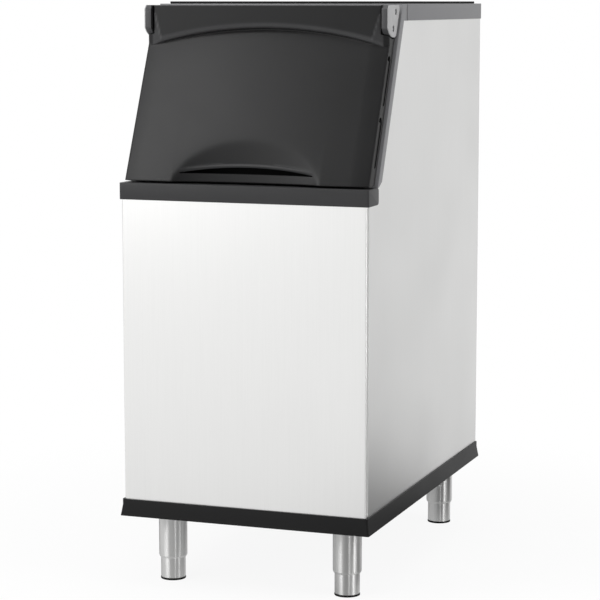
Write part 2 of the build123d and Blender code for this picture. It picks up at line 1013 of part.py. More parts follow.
def make_flange_screws():
    screws = []
    for x, s in flange_screw_places():
        screw = flange_screw(x, s)
        screws += [screw, mirror(screw, Plane.YZ)]
    return Compound(children=screws)


# Legs
def leg_places():
    x = half_width - leg_inset_x
    rear = cabinet_depth - leg_inset_back
    return {
        "front_left": (-x, leg_inset_front),
        "front_right": (x, leg_inset_front),
        "rear_left": (-x, rear),
        "rear_right": (x, rear),
    }


def make_leg_tube(x, y):
    neck = foot_radius + foot_clearance
    bore = leg_radius - leg_wall
    shoulder = leg_end + leg_shoulder
    points = [
        (neck, leg_end),
        (neck + leg_wall, leg_end),
        (leg_radius, shoulder),
        (leg_radius, shelf_z),
        (stud_radius, shelf_z),
        (stud_radius, shelf_z + stud_length),
        (0, shelf_z + stud_length),
        (0, shelf_z - leg_cap),
        (bore, shelf_z - leg_cap),
        (bore, shoulder),
        (neck, leg_end + leg_wall),
    ]
    return turned(points, x, y)


def make_leg_insert(x, y):
    top = shelf_z - insert_drop
    disc = upright_pin(x, y, leg_radius - leg_wall, top - insert_height, top)
    return disc - upright_pin(
        x, y, thread_radius + thread_clearance, top - insert_height, top
    )


def make_leg_socket(x, y):
    boss = upright_pin(x, y, socket_radius, pan_top, pan_top + socket_height)
    return boss - upright_pin(x, y, stud_radius, pan_top, shelf_z + stud_length)


def make_foot(x, y):
    floor = pad_height + foot_floor
    points = [
        (0, pad_height),
        (foot_radius - foot_edge, pad_height),
        (foot_radius, pad_height + foot_edge),
        (foot_radius, foot_top),
        (foot_radius - foot_wall, foot_top),
        (foot_radius - foot_wall, floor),
        (thread_radius, floor),
        (thread_radius, stem_top - stem_chamfer),
        (thread_radius - stem_chamfer, stem_top),
        (0, stem_top),
    ]
    return turned(points, x, y)


def make_foot_pad(x, y):
    points = [
        (0, 0),
        (pad_radius - pad_edge, 0),
        (pad_radius, pad_edge),
        (pad_radius, pad_height),
        (0, pad_height),
    ]
    return turned(points, x, y)


# Small screws
def back_screw_places():
    span = plate_z - band_height - shelf_z - 2 * back_screw_margin
    step = span / (back_screw_count - 1)
    x = half_width - rear_flange / 2
    low = shelf_z + back_screw_margin
    return [(side * x, low + i * step) for side in (-1, 1) for i in range(back_screw_count)]


def make_back_screws():
    screws = []
    for x, z in back_screw_places():
        rear = cabinet_depth
        head = depth_pin(x, z, screw_head_radius, rear, rear + screw_head_height)
        screws.append(head + depth_pin(x, z, screw_radius, rear - screw_length, rear))
    return Compound(children=screws)


def skirt_screw_places():
    """Screws under the ledge of the skirt, in line with its middle."""
    y_step = cabinet_depth / skirt_screw_count
    x = half_width - skirt_ledge / 2
    return [
        (side * x, (i + 0.5) * y_step) for side in (-1, 1) for i in range(skirt_screw_count)
    ]


def make_skirt_screws():
    screws = []
    for x, y in skirt_screw_places():
        low = leg_height
        head = upright_pin(x, y, screw_head_radius, low - screw_head_height, low)
        screws.append(head + upright_pin(x, y, screw_radius, low, low + screw_length))
    return Compound(children=screws)


# Drain
def drain_z():
    return floor_back - drain_drop


def make_drain_fitting():
    seat = cavity_back
    flange = depth_pin(0, drain_z(), drain_flange_radius, seat - drain_flange_thickness, seat)
    tail = cabinet_depth + drain_nut_thickness
    tube = depth_pin(0, drain_z(), drain_tube_radius, seat, tail)
    bore = depth_pin(
        0, drain_z(), drain_bore_radius, seat - drain_flange_thickness, tail
    )
    return flange + tube - bore


def make_drain_nut():
    across = drain_nut_width / math.sqrt(3)
    hexagon = RegularPolygon(across, 6)
    nut = extrude(Plane.XZ * hexagon, -drain_nut_thickness)
    nut = Pos(0, front_y + cabinet_depth, drain_z()) * nut
    rear = cabinet_depth
    return nut - depth_pin(0, drain_z(), drain_tube_radius, rear, rear + drain_nut_thickness)


def make_strainer():
    half = sump_half_width + strainer_lip - butt_gap
    front = cavity_back - sump_length - strainer_lip + butt_gap
    rear = cavity_back - strainer_gap
    low = strainer_z()
    plate = block(-half, half, front, rear, low, low + strainer_thickness)
    columns = int(2 * (sump_half_width - strainer_margin) // strainer_hole_pitch) + 1
    clear_length = sump_length - strainer_gap - 2 * strainer_margin
    rows = int(clear_length // strainer_hole_pitch) + 1
    middle_y = cavity_back - (sump_length + strainer_gap) / 2
    for column in range(columns):
        for row in range(rows):
            x = (column - (columns - 1) / 2) * strainer_hole_pitch
            y = middle_y + (row - (rows - 1) / 2) * strainer_hole_pitch
            plate -= upright_pin(x, y, strainer_hole_radius, low, low + strainer_thickness)
    return plate


# Ice baffle
def make_baffle():
    top = header_z
    bend = top - baffle_thickness
    low = bend - baffle_drop
    start = baffle_setback
    thick = baffle_thickness / slope_cos
    foot_y = start - baffle_drop * slope_tan
    points = [
        (start, top),
        (start + baffle_flange, top),
        (start + baffle_flange, bend),
        (start + thick, bend),
        (foot_y + thick, low),
        (foot_y + thick + baffle_lip, low - baffle_lip),
        (foot_y + baffle_lip, low - baffle_lip - baffle_thickness),
        (foot_y, low),
        (start, bend),
    ]
    sheet = side_slab(points, -baffle_half_width, baffle_half_width)
    for x, y in baffle_screw_places():
        sheet -= upright_pin(x, y, screw_radius, bend, top)
    return sheet


def baffle_screw_places():
    y = baffle_setback + baffle_screw_back
    return [(side * baffle_screw_x, y) for side in (-1, 1)]


def make_baffle_screws():
    screws = []
    bend = header_z - baffle_thickness
    for x, y in baffle_screw_places():
        knob = upright_pin(x, y, thumb_radius, bend - thumb_height, bend)
        screws.append(knob + upright_pin(x, y, screw_radius, bend, bend + screw_length))
    return Compound(children=screws)


def build_nodes():
    space = cavity(0.0)
    grown = cavity(moulding_thickness)
    nodes = {}
    nodes["front_panel"] = make_front_panel()
    nodes["left_side_panel"] = make_side_panel(-1)
    nodes["right_side_panel"] = make_side_panel(1)
    nodes["back_panel"] = make_back_panel()
    nodes["bottom_pan"] = make_bottom_pan()
    nodes["base_skirt"] = make_base_skirt()
    nodes["bin_liner"] = make_liner(space, grown)
    nodes["door_sill"] = make_sill()
    nodes["left_slope_trim"] = make_slope_trim(-1)
    nodes["right_slope_trim"] = make_slope_trim(1)
    nodes["header_trim"] = make_header_trim()
    nodes["top_frame"] = make_top_frame()
    nodes["top_seal"] = make_top_seal()

    legs = leg_places()
    sockets = []
    inserts = []
    for corner, (x, y) in legs.items():
        nodes[corner + "_leg"] = make_leg_tube(x, y)
        nodes[corner + "_foot"] = make_foot(x, y)
        nodes[corner + "_foot_pad"] = make_foot_pad(x, y)
        sockets.append(make_leg_socket(x, y))
        inserts.append(make_leg_insert(x, y))
        nodes["bottom_pan"] -= upright_pin(x, y, stud_radius, shelf_z, pan_top)
    nodes["leg_sockets"] = Compound(children=sockets)
    nodes["leg_inserts"] = Compound(children=inserts)

    for side, name in ((-1, "left"), (1, "right")):
        nodes[name + "_hinge_plate"] = make_hinge_plate(side)
        nodes[name + "_hinge_cover"] = make_hinge_cover(side)
        nodes[name + "_hinge_pin"] = make_hinge_pin(side)
        nodes[name + "_door_bushing"] = make_door_bushing(side)
    nodes["hinge_cover_screws"] = make_cover_screws()
    nodes["hinge_plate_screws"] = make_flange_screws()
    nodes["back_panel_screws"] = make_back_screws()
    nodes["skirt_screws"] = make_skirt_screws()
    nodes["drain_fitting"] = make_drain_fitting()
    nodes["drain_nut"] = make_drain_nut()
    nodes["drain_strainer"] = make_strainer()
    nodes["ice_baffle"] = make_baffle()
    nodes["baffle_screws"] = make_baffle_screws()

    inside = door_body(door_wall)
    hollow = inside - grip(door_wall)
    walls = door_body(0.0) - hollow - grip(0.0)
    zone = grip_zone(inside)
    nodes["door_shell"] = make_door_shell(walls, zone)
    nodes["grip_insert"] = make_grip_insert(walls, zone)
    nodes["door_inner_panel"] = make_inner_panel()
    nodes["door_foam"] = make_door_foam(hollow)
    nodes["door_seal"] = make_door_seal()

    # Holes that the screws and the drain pass through
    for name in ("left_slope_trim", "right_slope_trim", "bin_liner"):
        nodes[name] -= nodes["hinge_plate_screws"]
    nodes["back_panel"] -= nodes["back_panel_screws"]
    nodes["left_side_panel"] -= nodes["back_panel_screws"]
    nodes["right_side_panel"] -= nodes["back_panel_screws"]
    nodes["base_skirt"] -= nodes["skirt_screws"]
    nodes["bottom_pan"] -= nodes["skirt_screws"]
    drain_hole = depth_pin(0, drain_z(), drain_tube_radius, cavity_back, cabinet_depth)
    nodes["back_panel"] -= drain_hole
    nodes["bin_liner"] -= drain_hole
    nodes["bin_liner"] -= nodes["baffle_screws"]

    inside_foam = [
        "front_panel",
        "left_side_panel",
        "right_side_panel",
        "bottom_pan",
        "leg_sockets",
        "hinge_plate_screws",
        "back_panel_screws",
        "skirt_screws",
        "baffle_screws",
    ]
    neighbours = [nodes[name] for name in inside_foam]
    neighbours.append(drain_hole)
    for x, y in legs.values():
        neighbours.append(upright_pin(x, y, stud_radius, shelf_z, shelf_z + stud_length))
    nodes["cabinet_foam"] = make_cabinet_foam(grown, neighbours)
    return nodes


os.makedirs("parts", exist_ok=True)
for name, solid in build_nodes().items():
    export_step(solid, "parts/" + name + ".step")
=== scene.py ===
"""Studio picture of an ice storage bin: brushed steel cabinet, moulded black door, turned legs."""

import json
import math

import bmesh
import bpy
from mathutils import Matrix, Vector


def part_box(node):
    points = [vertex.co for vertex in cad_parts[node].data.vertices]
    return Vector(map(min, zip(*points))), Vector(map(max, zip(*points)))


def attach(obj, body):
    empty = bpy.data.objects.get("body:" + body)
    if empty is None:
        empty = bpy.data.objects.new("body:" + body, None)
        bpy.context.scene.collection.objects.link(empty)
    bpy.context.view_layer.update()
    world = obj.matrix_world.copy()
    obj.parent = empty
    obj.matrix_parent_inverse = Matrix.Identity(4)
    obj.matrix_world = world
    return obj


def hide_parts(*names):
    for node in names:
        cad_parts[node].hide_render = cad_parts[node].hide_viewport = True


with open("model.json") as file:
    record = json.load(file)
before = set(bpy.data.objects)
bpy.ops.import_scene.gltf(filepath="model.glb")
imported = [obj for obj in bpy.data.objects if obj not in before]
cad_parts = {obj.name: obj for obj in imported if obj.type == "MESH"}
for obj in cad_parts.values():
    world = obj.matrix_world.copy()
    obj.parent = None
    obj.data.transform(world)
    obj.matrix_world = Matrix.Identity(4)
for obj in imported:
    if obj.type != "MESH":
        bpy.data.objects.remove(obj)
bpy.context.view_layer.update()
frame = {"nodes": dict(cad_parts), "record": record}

MM = 0.001
SMOOTH_ANGLE = math.radians(32)

# Cabinet lines that the door follows, in millimetres behind the front face and above the floor
CABINET_DEPTH = 864.0
HALF_WIDTH = 279.5
FRONT_Y = -CABINET_DEPTH / 2
LEG_HEIGHT = 158.0
TOP_Z = LEG_HEIGHT + 1113.0
SILL_TOP = LEG_HEIGHT + 732.0
SLOPE_START = 57.0
SLOPE_ANGLE = 24.0
PIVOT_Z = TOP_Z - 23.0
PIVOT_OFFSET = 41.0

# Door
DOOR_HALF = HALF_WIDTH - 2.5
DOOR_BOTTOM = SILL_TOP + 4.0
DOOR_TOP = TOP_Z - 3.0
DOOR_SETBACK = 7.0
FACE_ANGLE = 24.7
BROW_HEIGHT = 99.0
BROW_LEAN = 4.6
ARCH_DROP = 50.0
ARCH_RISE = 41.0
ARCH_ROUND_MIDDLE = 11.0
ARCH_ROUND_SIDES = 13.0
ARCH_FILLET = 5.0
ROLL_SHARE = 0.75
HOLLOW_SHARE = 0.25
CROWN_DEPTH = 3.0
BORDER_WIDTH = 45.0
BORDER_DROP = 4.0
BORDER_CURVE = 1.5
SEAL_GAP = 7.0
EDGE_RADIUS = 2.2
NECK_HALF = 259.8
EAR_RADIUS = 51.0
BUSHING_RADIUS = 8.0
BUSHING_DEPTH = 25.0
WINDOW_HALF = 269.0
WINDOW_START = 5.0
WINDOW_LENGTH = 325.0
WINDOW_DEPTH = 3.5
# How far a cutter runs past what it cuts
CUT_PAST = 5.0

# Scoop, grip slot and the rolled lip over it
SCOOP_HEIGHT = 86.0
SCOOP_HALF = 165.0
SCOOP_DEPTH = 22.6
SCOOP_TILT = 12.0
SCOOP_BLEND = 2.5
SLOT_HALF = 150.0
SLOT_LOW = 18.0
SLOT_EDGE = 2.0
SLOT_RISE = 14.0
SLOT_BACK = 49.8
POCKET_HALF = 110.0
POCKET_FRONT = 43.2
POCKET_TOP = 52.0
LIP_HEIGHT = 9.0
LIP_PROUD = 2.4

# Flat facet at each lower corner of the brow, with its low and high points below the door's top
FACET_INNER = 240.0
FACET_OUTER = 259.0
FACET_LOW = 82.0
FACET_HIGH = 18.0
FACET_DEPTH = 7.0

# Painted highlights on the door's edges: how pale they are, how wide on the facets' ridges, where that starts
# and ends on the brow's rolled edge with how fast it comes and goes, and the near black painted shade inside
# the slot
ARCH_HIGHLIGHT = 0.65
RIDGE_HIGHLIGHT = 1.0
FACET_HIGHLIGHT = 0.5
LIP_HIGHLIGHT = 0.5
TOP_HIGHLIGHT = 1.6
RIDGE_WIDTH = 3.5
HIGHLIGHT_START = -0.05
HIGHLIGHT_END = 1.3
HIGHLIGHT_IN = 3.0
HIGHLIGHT_OUT = 1.6
SLOT_PAINTED_SHADE = "#060606"

# Recesses in the door's side faces
RECESS_WIDTH = 18.0
RECESS_LENGTH = 112.0
RECESS_DEPTH = 1.6
NOTCH_LENGTH = 10.0
NOTCH_DEPTH = 6.0
NOTCH_MARGIN = 4.0
NOTCH_PAST = 0.3
RECESS_FIRST = 34.0
RECESS_PITCH = 139.0

# Painted highlight on a hinge cover's outer face, which stands lit: how far in from the side it reaches, and
# how far in its recesses' floors lie
COVER_LIT_INSET = 1.6
COVER_RECESS = 3.0

slope = math.radians(SLOPE_ANGLE)
face_tan = math.tan(math.radians(FACE_ANGLE))
brow_tan = math.tan(math.radians(BROW_LEAN))
bend_z = DOOR_TOP - BROW_HEIGHT
bend_y = DOOR_SETBACK + (bend_z - DOOR_BOTTOM) * face_tan
arch_z = DOOR_TOP - ARCH_DROP
arch_radius = (DOOR_HALF**2 + ARCH_RISE**2) / (2 * ARCH_RISE)


def seal_y(z, off=0.0):
    """Distance behind the front face of the mouth's sloping plane, off millimetres out of it."""
    return SLOPE_START + (z - SILL_TOP) * math.tan(slope) - off / math.cos(slope)


pivot_y = seal_y(PIVOT_Z, PIVOT_OFFSET)


def place(x, y, z):
    """Millimetres, with y behind the front face, to metres in the shared frame."""
    return Vector((x * MM, (FRONT_Y + y) * MM, z * MM))


# Materials
def linear(hex_colour):
    """sRGB hex to a linear colour with full alpha."""
    parts = [int(hex_colour[i : i + 2], 16) / 255 for i in (1, 3, 5)]
    return tuple(c / 12.92 if c <= 0.04045 else ((c + 0.055) / 1.055) ** 2.4 for c in parts) + (1.0,)


def add_node(tree, kind, inputs=None, **settings):
    """Adds a node, with its settings and with values or links for its inputs."""
    node = tree.nodes.new(kind)
    for key, value in settings.items():
        setattr(node, key, value)
    for socket, value in (inputs or {}).items():
        if isinstance(value, bpy.types.NodeSocket):
            tree.links.new(value, node.inputs[socket])
        else:
            node.inputs[socket].default_value = value
    return node


def new_material(name):
    material = bpy.data.materials.new(name)
    material.use_nodes = True
    material.node_tree.nodes.clear()
    return material, material.node_tree


def shade(tree, surface):
    add_node(tree, "ShaderNodeOutputMaterial", {"Surface": surface.outputs[0]})


def layered(tree, colour, layers):
    """Colour with tints laid over it, each where its share is 1."""
    for share, tint in layers:
        mix = add_node(tree, "ShaderNodeMix", {0: share, 6: colour, 7: linear(tint)}, data_type="RGBA")
        colour = mix.outputs[2]
    return colour


def brushed_metal(name, light, dark, roughness, grain_mm, streak_mm, relief_mm, turned=False):
    """Metal with long fine streaks that stretch its highlights: along Z on sheet, round a turned tube."""
    material, tree = new_material(name)
    coords = add_node(tree, "ShaderNodeTexCoord").outputs["Object"]
    fine, long = 1 / (grain_mm * MM), 1 / (streak_mm * MM)
    stretched = add_node(
        tree,
        "ShaderNodeMapping",
        {"Vector": coords, "Scale": (long, long, fine) if turned else (fine, fine, long)},
    ).outputs[0]
    streaks = add_node(
        tree, "ShaderNodeTexNoise", {"Vector": stretched, "Scale": 1.0, "Detail": 3.0}
    ).outputs[0]
    clouds = add_node(
        tree, "ShaderNodeTexNoise", {"Vector": coords, "Scale": 4.0, "Detail": 2.0}
    ).outputs[0]
    rough = add_node(
        tree,
        "ShaderNodeMapRange",
        {"Value": clouds, "To Min": roughness - 0.05, "To Max": roughness + 0.05},
    ).outputs[0]
    bump = add_node(
        tree, "ShaderNodeBump", {"Height": streaks, "Distance": relief_mm * MM, "Strength": 0.5}
    ).outputs[0]
    shader = add_node(
        tree,
        "ShaderNodeBsdfPrincipled",
        {
            "Base Color": layered(tree, linear(dark), [(streaks, light)]),
            "Metallic": 1.0,
            "Roughness": rough,
            "Anisotropic": 1.0 if turned else 0.3,
            "Anisotropic Rotation": 0.25 if turned else 0.0,
            "Normal": bump,
        },
    )
    shade(tree, shader)
    return material


def moulded(name, base, scuffed, roughness, grain_mm, relief_mm, specular=0.3, painted_highlight=None):
    """Moulded plastic or rubber: an even colour, a mould's stipple, faint scuffs, and on request painted
    highlights on edges and painted shade in a slot.
    """
    material, tree = new_material(name)
    coords = add_node(tree, "ShaderNodeTexCoord").outputs["Object"]
    stipple = add_node(
        tree,
        "ShaderNodeTexNoise",
        {"Vector": coords, "Scale": 1 / (grain_mm * MM), "Detail": 2.0},
    ).outputs[0]
    clouds = add_node(
        tree, "ShaderNodeTexNoise", {"Vector": coords, "Scale": 7.0, "Detail": 4.0}
    ).outputs[0]
    rough = add_node(
        tree,
        "ShaderNodeMapRange",
        {"Value": clouds, "To Min": roughness - 0.06, "To Max": roughness + 0.06},
    ).outputs[0]
    bump = add_node(
        tree, "ShaderNodeBump", {"Height": stipple, "Distance": relief_mm * MM, "Strength": 0.6}
    ).outputs[0]
    layers = [(clouds, scuffed)]
    # Painted highlights on edges and painted shade in the slot, from the mesh's two attributes
    if painted_highlight:
        highlight_mask = add_node(tree, "ShaderNodeAttribute", attribute_name="painted_highlight").outputs["Fac"]
        hollow = add_node(tree, "ShaderNodeAttribute", attribute_name="hollow").outputs["Fac"]
        layers += [(highlight_mask, painted_highlight), (hollow, SLOT_PAINTED_SHADE)]
        rough = add_node(
            tree, "ShaderNodeMath", {0: rough, 1: hollow}, operation="ADD", use_clamp=True
        ).outputs[0]
    shader = add_node(
        tree,
        "ShaderNodeBsdfPrincipled",
        {
            "Base Color": layered(tree, linear(base), layers),
            "Roughness": rough,
            "Specular IOR Level": specular,
            "Normal": bump,
        },
    )
    shade(tree, shader)
    return material


def galvanised_sheet():
    """Hot-dipped zinc on steel: a dull grey with a patchwork of crystals about 12 mm across."""
    material, tree = new_material("galvanised_sheet")
    coords = add_node(tree, "ShaderNodeTexCoord").outputs["Object"]
    crystals = add_node(tree, "ShaderNodeTexVoronoi", {"Vector": coords, "Scale": 85.0}).outputs["Color"]
    tone = add_node(tree, "ShaderNodeSeparateColor", {"Color": crystals}).outputs[0]
    rough = add_node(
        tree, "ShaderNodeMapRange", {"Value": tone, "To Min": 0.38, "To Max": 0.55}
    ).outputs[0]
    shader = add_node(
        tree,
        "ShaderNodeBsdfPrincipled",
        {
            "Base Color": layered(tree, linear("#A6A9AB"), [(tone, "#BFC2C4")]),
            "Metallic": 1.0,
            "Roughness": rough,
        },
    )
    shade(tree, shader)
    return material


# Stainless is ground along its height; the real grain of 0.2 mm is drawn at 1.4 mm so that it shows.
stainless = brushed_metal("ground_stainless_sheet", "#F1F1F0", "#EBEBEA", 0.34, 1.4, 160.0, 0.006)
# Turned stainless tube: fine lines round it, and tighter reflections across than the sheet.
leg_stainless = brushed_metal("turned_stainless_tube", "#E8E8E7", "#DEDEDD", 0.36, 0.8, 60.0, 0.002, True)
# Zinc plated steel screws and pins: small, bright and slightly blue.
zinc_plate = brushed_metal("zinc_plated_steel", "#C9CCCF", "#AEB2B6", 0.3, 0.8, 8.0, 0.01)
# Galvanised sheet of the back and the pan: dull, with zinc crystals that catch the light in patches.
zinc_sheet = galvanised_sheet()
# The hinge plates are steel painted near black, satin and even, as painted shade for the gap beside each
# cover.
hinge_plate_painted_shade = moulded("black_electrocoat", "#0B0B0C", "#101011", 0.5, 0.6, 0.01, 0.15)
# Rotomoulded polyethylene: satin black with a stipple of about 1 mm, which breaks up its sheen.
# Its edges get painted highlights in a paler grey, and its slot gets painted shade.
door_black = moulded(
    "black_polyethylene", "#191919", "#1F1F20", 0.36, 1.1, 0.04, specular=0.19, painted_highlight="#4A4A4B"
)
# Extruded black edge mouldings: a little smoother and lighter than the door.
edge_black = moulded("black_edge_moulding", "#2C2C2D", "#343435", 0.42, 0.9, 0.03)
# The base skirt is the same moulding in a deeper black.
skirt_black = moulded("black_skirt_moulding", "#131314", "#191919", 0.45, 0.9, 0.03, specular=0.2)
# Injection moulded grey ABS of the slope trims and top bands.
trim_grey = moulded("dark_grey_abs", "#747476", "#7C7C7E", 0.4, 0.9, 0.03)
# Blow-moulded polyethylene of the ice space and the door's inside: white, smooth and slightly waxy.
liner_white = moulded("white_polyethylene_liner", "#DCDEDF", "#D2D5D7", 0.3, 2.0, 0.02, 0.5)
# Closed-cell rubber of seals and pads: dead black with a fine grain.
seal_black = moulded("closed_cell_rubber", "#141414", "#1C1C1C", 0.75, 0.8, 0.08, 0.2)
# Blown polyurethane foam: cream, dull and open-pored.
foam_cream = moulded("polyurethane_foam", "#E0CF9B", "#D2BF88", 0.9, 1.6, 0.3, 0.1)
# Natural nylon of the hinge bushings: off-white with a soft sheen.
nylon_white = moulded("natural_nylon", "#DEDED6", "#D2D2C8", 0.4, 1.0, 0.01, 0.4)
# Moulded ABS of the drain fittings: mid grey, smooth.
fitting_grey = moulded("drain_abs", "#505153", "#5A5B5D", 0.4, 1.0, 0.02)

slot_finish = {
    "steel_skin": stainless,
    "zinc_sheet": zinc_sheet,
    "black_moulding": edge_black,
    "grey_moulding": trim_grey,
    "liner_plastic": liner_white,
    "foam": foam_cream,
    "seal_rubber": seal_black,
    "leg_steel": leg_stainless,
    "bright_steel": zinc_plate,
    "white_nylon": nylon_white,
    "drain_plastic": fitting_grey,
}
node_slot = {s["node"]: s["material_slot"] for s in frame["record"]["subparts"]}
node_body = {n: b for b, members in frame["record"]["behaviour"]["bodies"].items() for n in members}
for name, node in frame["nodes"].items():
    node.data.materials.clear()
    # Hinge plates take the near black that paints the shade of the gap beside the covers
    finish = hinge_plate_painted_shade if name.endswith("hinge_plate") else slot_finish[node_slot[name]]
    node.data.materials.append(finish)


def cover_with_painted_light():
    """Hinge cover of dark grey ABS with its outer face painted pale, a painted highlight of the side the
    lamps light.
    """
    material = moulded("dark_abs_with_painted_lit_face", "#404042", "#484849", 0.4, 0.8, 0.02)
    tree = material.node_tree
    shader = next(node for node in tree.nodes if node.type == "BSDF_PRINCIPLED")
    body = shader.inputs["Base Color"].links[0].from_socket
    across = add_node(
        tree,
        "ShaderNodeSeparateXYZ",
        {"Vector": add_node(tree, "ShaderNodeTexCoord").outputs["Object"]},
    ).outputs[0]
    out = add_node(tree, "ShaderNodeMath", {0: across}, operation="ABSOLUTE").outputs[0]
    normal = add_node(tree, "ShaderNodeNewGeometry").outputs["Normal"]
    facing = add_node(tree, "ShaderNodeSeparateXYZ", {"Vector": normal}).outputs[0]
    turned_out = add_node(tree, "ShaderNodeMath", {0: facing}, operation="ABSOLUTE").outputs[0]
    edge = add_node(
        tree, "ShaderNodeMath", {0: turned_out, 1: COVER_RECESS * MM}, operation="MULTIPLY"
    ).outputs[0]
    reach = add_node(tree, "ShaderNodeMath", {0: out, 1: edge}, operation="ADD").outputs[0]
    face = add_node(
        tree, "ShaderNodeMath", {0: reach, 1: (HALF_WIDTH - COVER_LIT_INSET) * MM}, operation="GREATER_THAN"
    ).outputs[0]
    # The outer face and its recess floors are painted pale grey as the lit side: painted highlight
    tree.links.new(layered(tree, body, [(face, "#A8A8A9")]), shader.inputs["Base Color"])
    return material


cover_grey_painted_lit = cover_with_painted_light()


# Mesh helpers
def finish_piece(name, mesh, material, nodes):
    """Puts a finished mesh in the scene as a piece that stands for CAD nodes of one body."""
    mesh.materials.clear()
    mesh.materials.append(material)
    mesh.shade_smooth()
    mesh.set_sharp_from_angle(angle=SMOOTH_ANGLE)
    piece = bpy.data.objects.new(name, mesh)
    bpy.context.scene.collection.objects.link(piece)
    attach(piece, node_body[nodes[0]])
    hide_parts(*nodes)
    return piece


def baked(source):
    """Plain mesh of an object with its modifiers applied, which then leaves the scene."""
    bpy.context.view_layer.update()
    mesh = bpy.data.meshes.new_from_object(
        source.evaluated_get(bpy.context.evaluated_depsgraph_get())
    )
    bpy.data.objects.remove(source)
    return mesh


def merged_copy(node):
    """Welded copy of a CAD node's mesh with its flat faces joined."""
    shape = bmesh.new()
    shape.from_mesh(frame["nodes"][node].data)
    bmesh.ops.remove_doubles(shape, verts=shape.verts, dist=0.01 * MM)
    flat = math.radians(0.5)
    bmesh.ops.dissolve_limit(shape, angle_limit=flat, verts=shape.verts, edges=shape.edges)
    mesh = bpy.data.meshes.new(node + "_form")
    shape.to_mesh(mesh)
    shape.free()
    return mesh


def ease_edges(node, width_mm, material):
    """Piece like the CAD node, with its sharp edges rounded as a mould or a press leaves them."""
    form = bpy.data.objects.new(node + "_form", merged_copy(node))
    bpy.context.scene.collection.objects.link(form)
    bevel = form.modifiers.new("eased", "BEVEL")
    bevel.width = width_mm * MM
    bevel.segments = 3
    bevel.limit_method = "ANGLE"
    bevel.angle_limit = SMOOTH_ANGLE
    return finish_piece(node + "_finish", baked(form), material, [node])


def eased_outline(points, radius):
    """Outline with each corner off the axis rounded by a short arc."""
    rounded = []
    for i, corner in enumerate(points):
        corner = Vector(corner)
        before = Vector(points[i - 1]) - corner
        after = Vector(points[(i + 1) % len(points)]) - corner
        reach = min(radius, before.length / 3, after.length / 3)
        if corner.x < 1e-6 or reach < 1e-6:
            rounded.append(corner)
            continue
        start = corner + before.normalized() * reach
        end = corner + after.normalized() * reach
        for t in (0.0, 0.33, 0.67, 1.0):
            rounded.append(start.lerp(corner, t).lerp(corner.lerp(end, t), t))
    return rounded


def run_tree(tree, mesh, values):
    """Plain mesh that a Geometry Nodes tree makes from a mesh and from values for its named inputs."""
    holder = bpy.data.objects.new("holder", mesh)
    bpy.context.scene.collection.objects.link(holder)
    modifier = holder.modifiers.new("tree", "NODES")
    modifier.node_group = tree
    for item in tree.interface.items_tree:
        if item.item_type == "SOCKET" and item.in_out == "INPUT" and item.name in values:
            modifier[item.identifier] = values[item.name]
    return baked(holder)


def tree_with_inputs(name, sockets):
    """New Geometry Nodes tree with its named inputs, and the outputs that carry them."""
    tree = bpy.data.node_groups.new(name, "GeometryNodeTree")
    tree.interface.new_socket("Geometry", in_out="INPUT", socket_type="NodeSocketGeometry")
    for label, kind in sockets.items():
        tree.interface.new_socket(label, in_out="INPUT", socket_type="NodeSocket" + kind)
    tree.interface.new_socket("Finish", in_out="INPUT", socket_type="NodeSocketMaterial")
    tree.interface.new_socket("Geometry", in_out="OUTPUT", socket_type="NodeSocketGeometry")
    return tree, add_node(tree, "NodeGroupInput").outputs


def end_tree(tree, made, finish):
    real = add_node(tree, "GeometryNodeRealizeInstances", {"Geometry": made}).outputs[0]
    dressed = add_node(tree, "GeometryNodeSetMaterial", {"Geometry": real, "Material": finish}).outputs[0]
    add_node(tree, "NodeGroupOutput", {"Geometry": dressed})


def lathe_tree():
    """Body of revolution about Z: the given section is swept round a circle and stood at a place."""
    tree, given = tree_with_inputs("turned_on_a_lathe", {"Core": "Float", "Around": "Int", "Place": "Vector"})
    circle = add_node(
        tree, "GeometryNodeCurvePrimitiveCircle", {"Resolution": given["Around"], "Radius": given["Core"]}
    ).outputs["Curve"]
    path = add_node(tree, "GeometryNodeSetCurveNormal", {"Curve": circle}, mode="Z_UP").outputs[0]
    section = add_node(tree, "GeometryNodeMeshToCurve", {"Mesh": given["Geometry"]}).outputs[0]
    swept = add_node(tree, "GeometryNodeCurveToMesh", {"Curve": path, "Profile Curve": section}).outputs[0]
    poles = {"Geometry": swept, "Distance": 0.01 * MM}
    closed = add_node(tree, "GeometryNodeMergeByDistance", poles).outputs[0]
    stood = add_node(
        tree, "GeometryNodeTransform", {"Geometry": closed, "Translation": given["Place"]}
    ).outputs[0]
    end_tree(tree, stood, given["Finish"])
    return tree


def turned_mesh(points, x, y, finish):
    """Turned part from its half section, (radius, height) points that start and end on the axis."""
    core = max(point[0] for point in points)
    outline = eased_outline(points, TURNED_EDGE)
    # A sweep takes its profile's X outwards from the path and its Y downwards
    corners = [((point.x - core) * MM, -point.y * MM, 0) for point in outline]
    section = bpy.data.meshes.new("section")
    section.from_pydata(corners, [(i, i + 1) for i in range(len(corners) - 1)], [])
    values = {"Core": core * MM, "Around": TURNED_SIDES, "Place": place(x, y, 0), "Finish": finish}
    mesh = run_tree(lathe, section, values)
    shape = bmesh.new()
    shape.from_mesh(mesh)
    bmesh.ops.recalc_face_normals(shape, faces=shape.faces)
    shape.to_mesh(mesh)
    shape.free()
    return mesh


# Door
def arch_height(x):
    """Height of the brow's arched lower line."""
    return arch_z - (arch_radius - math.sqrt(arch_radius**2 - x**2))


def slot_top(x):
    """Height of the crescent slot's upper line above the door's bottom."""
    share = min(1.0, abs(x) / SLOT_HALF)
    return SLOT_LOW + SLOT_EDGE + (SLOT_RISE - SLOT_EDGE) * (1 - share**2)


def soft_max(a, b, width):
    """Larger of two values, with the crossing blended over about width."""
    return (a + b + math.sqrt((a - b) ** 2 + width**2)) / 2


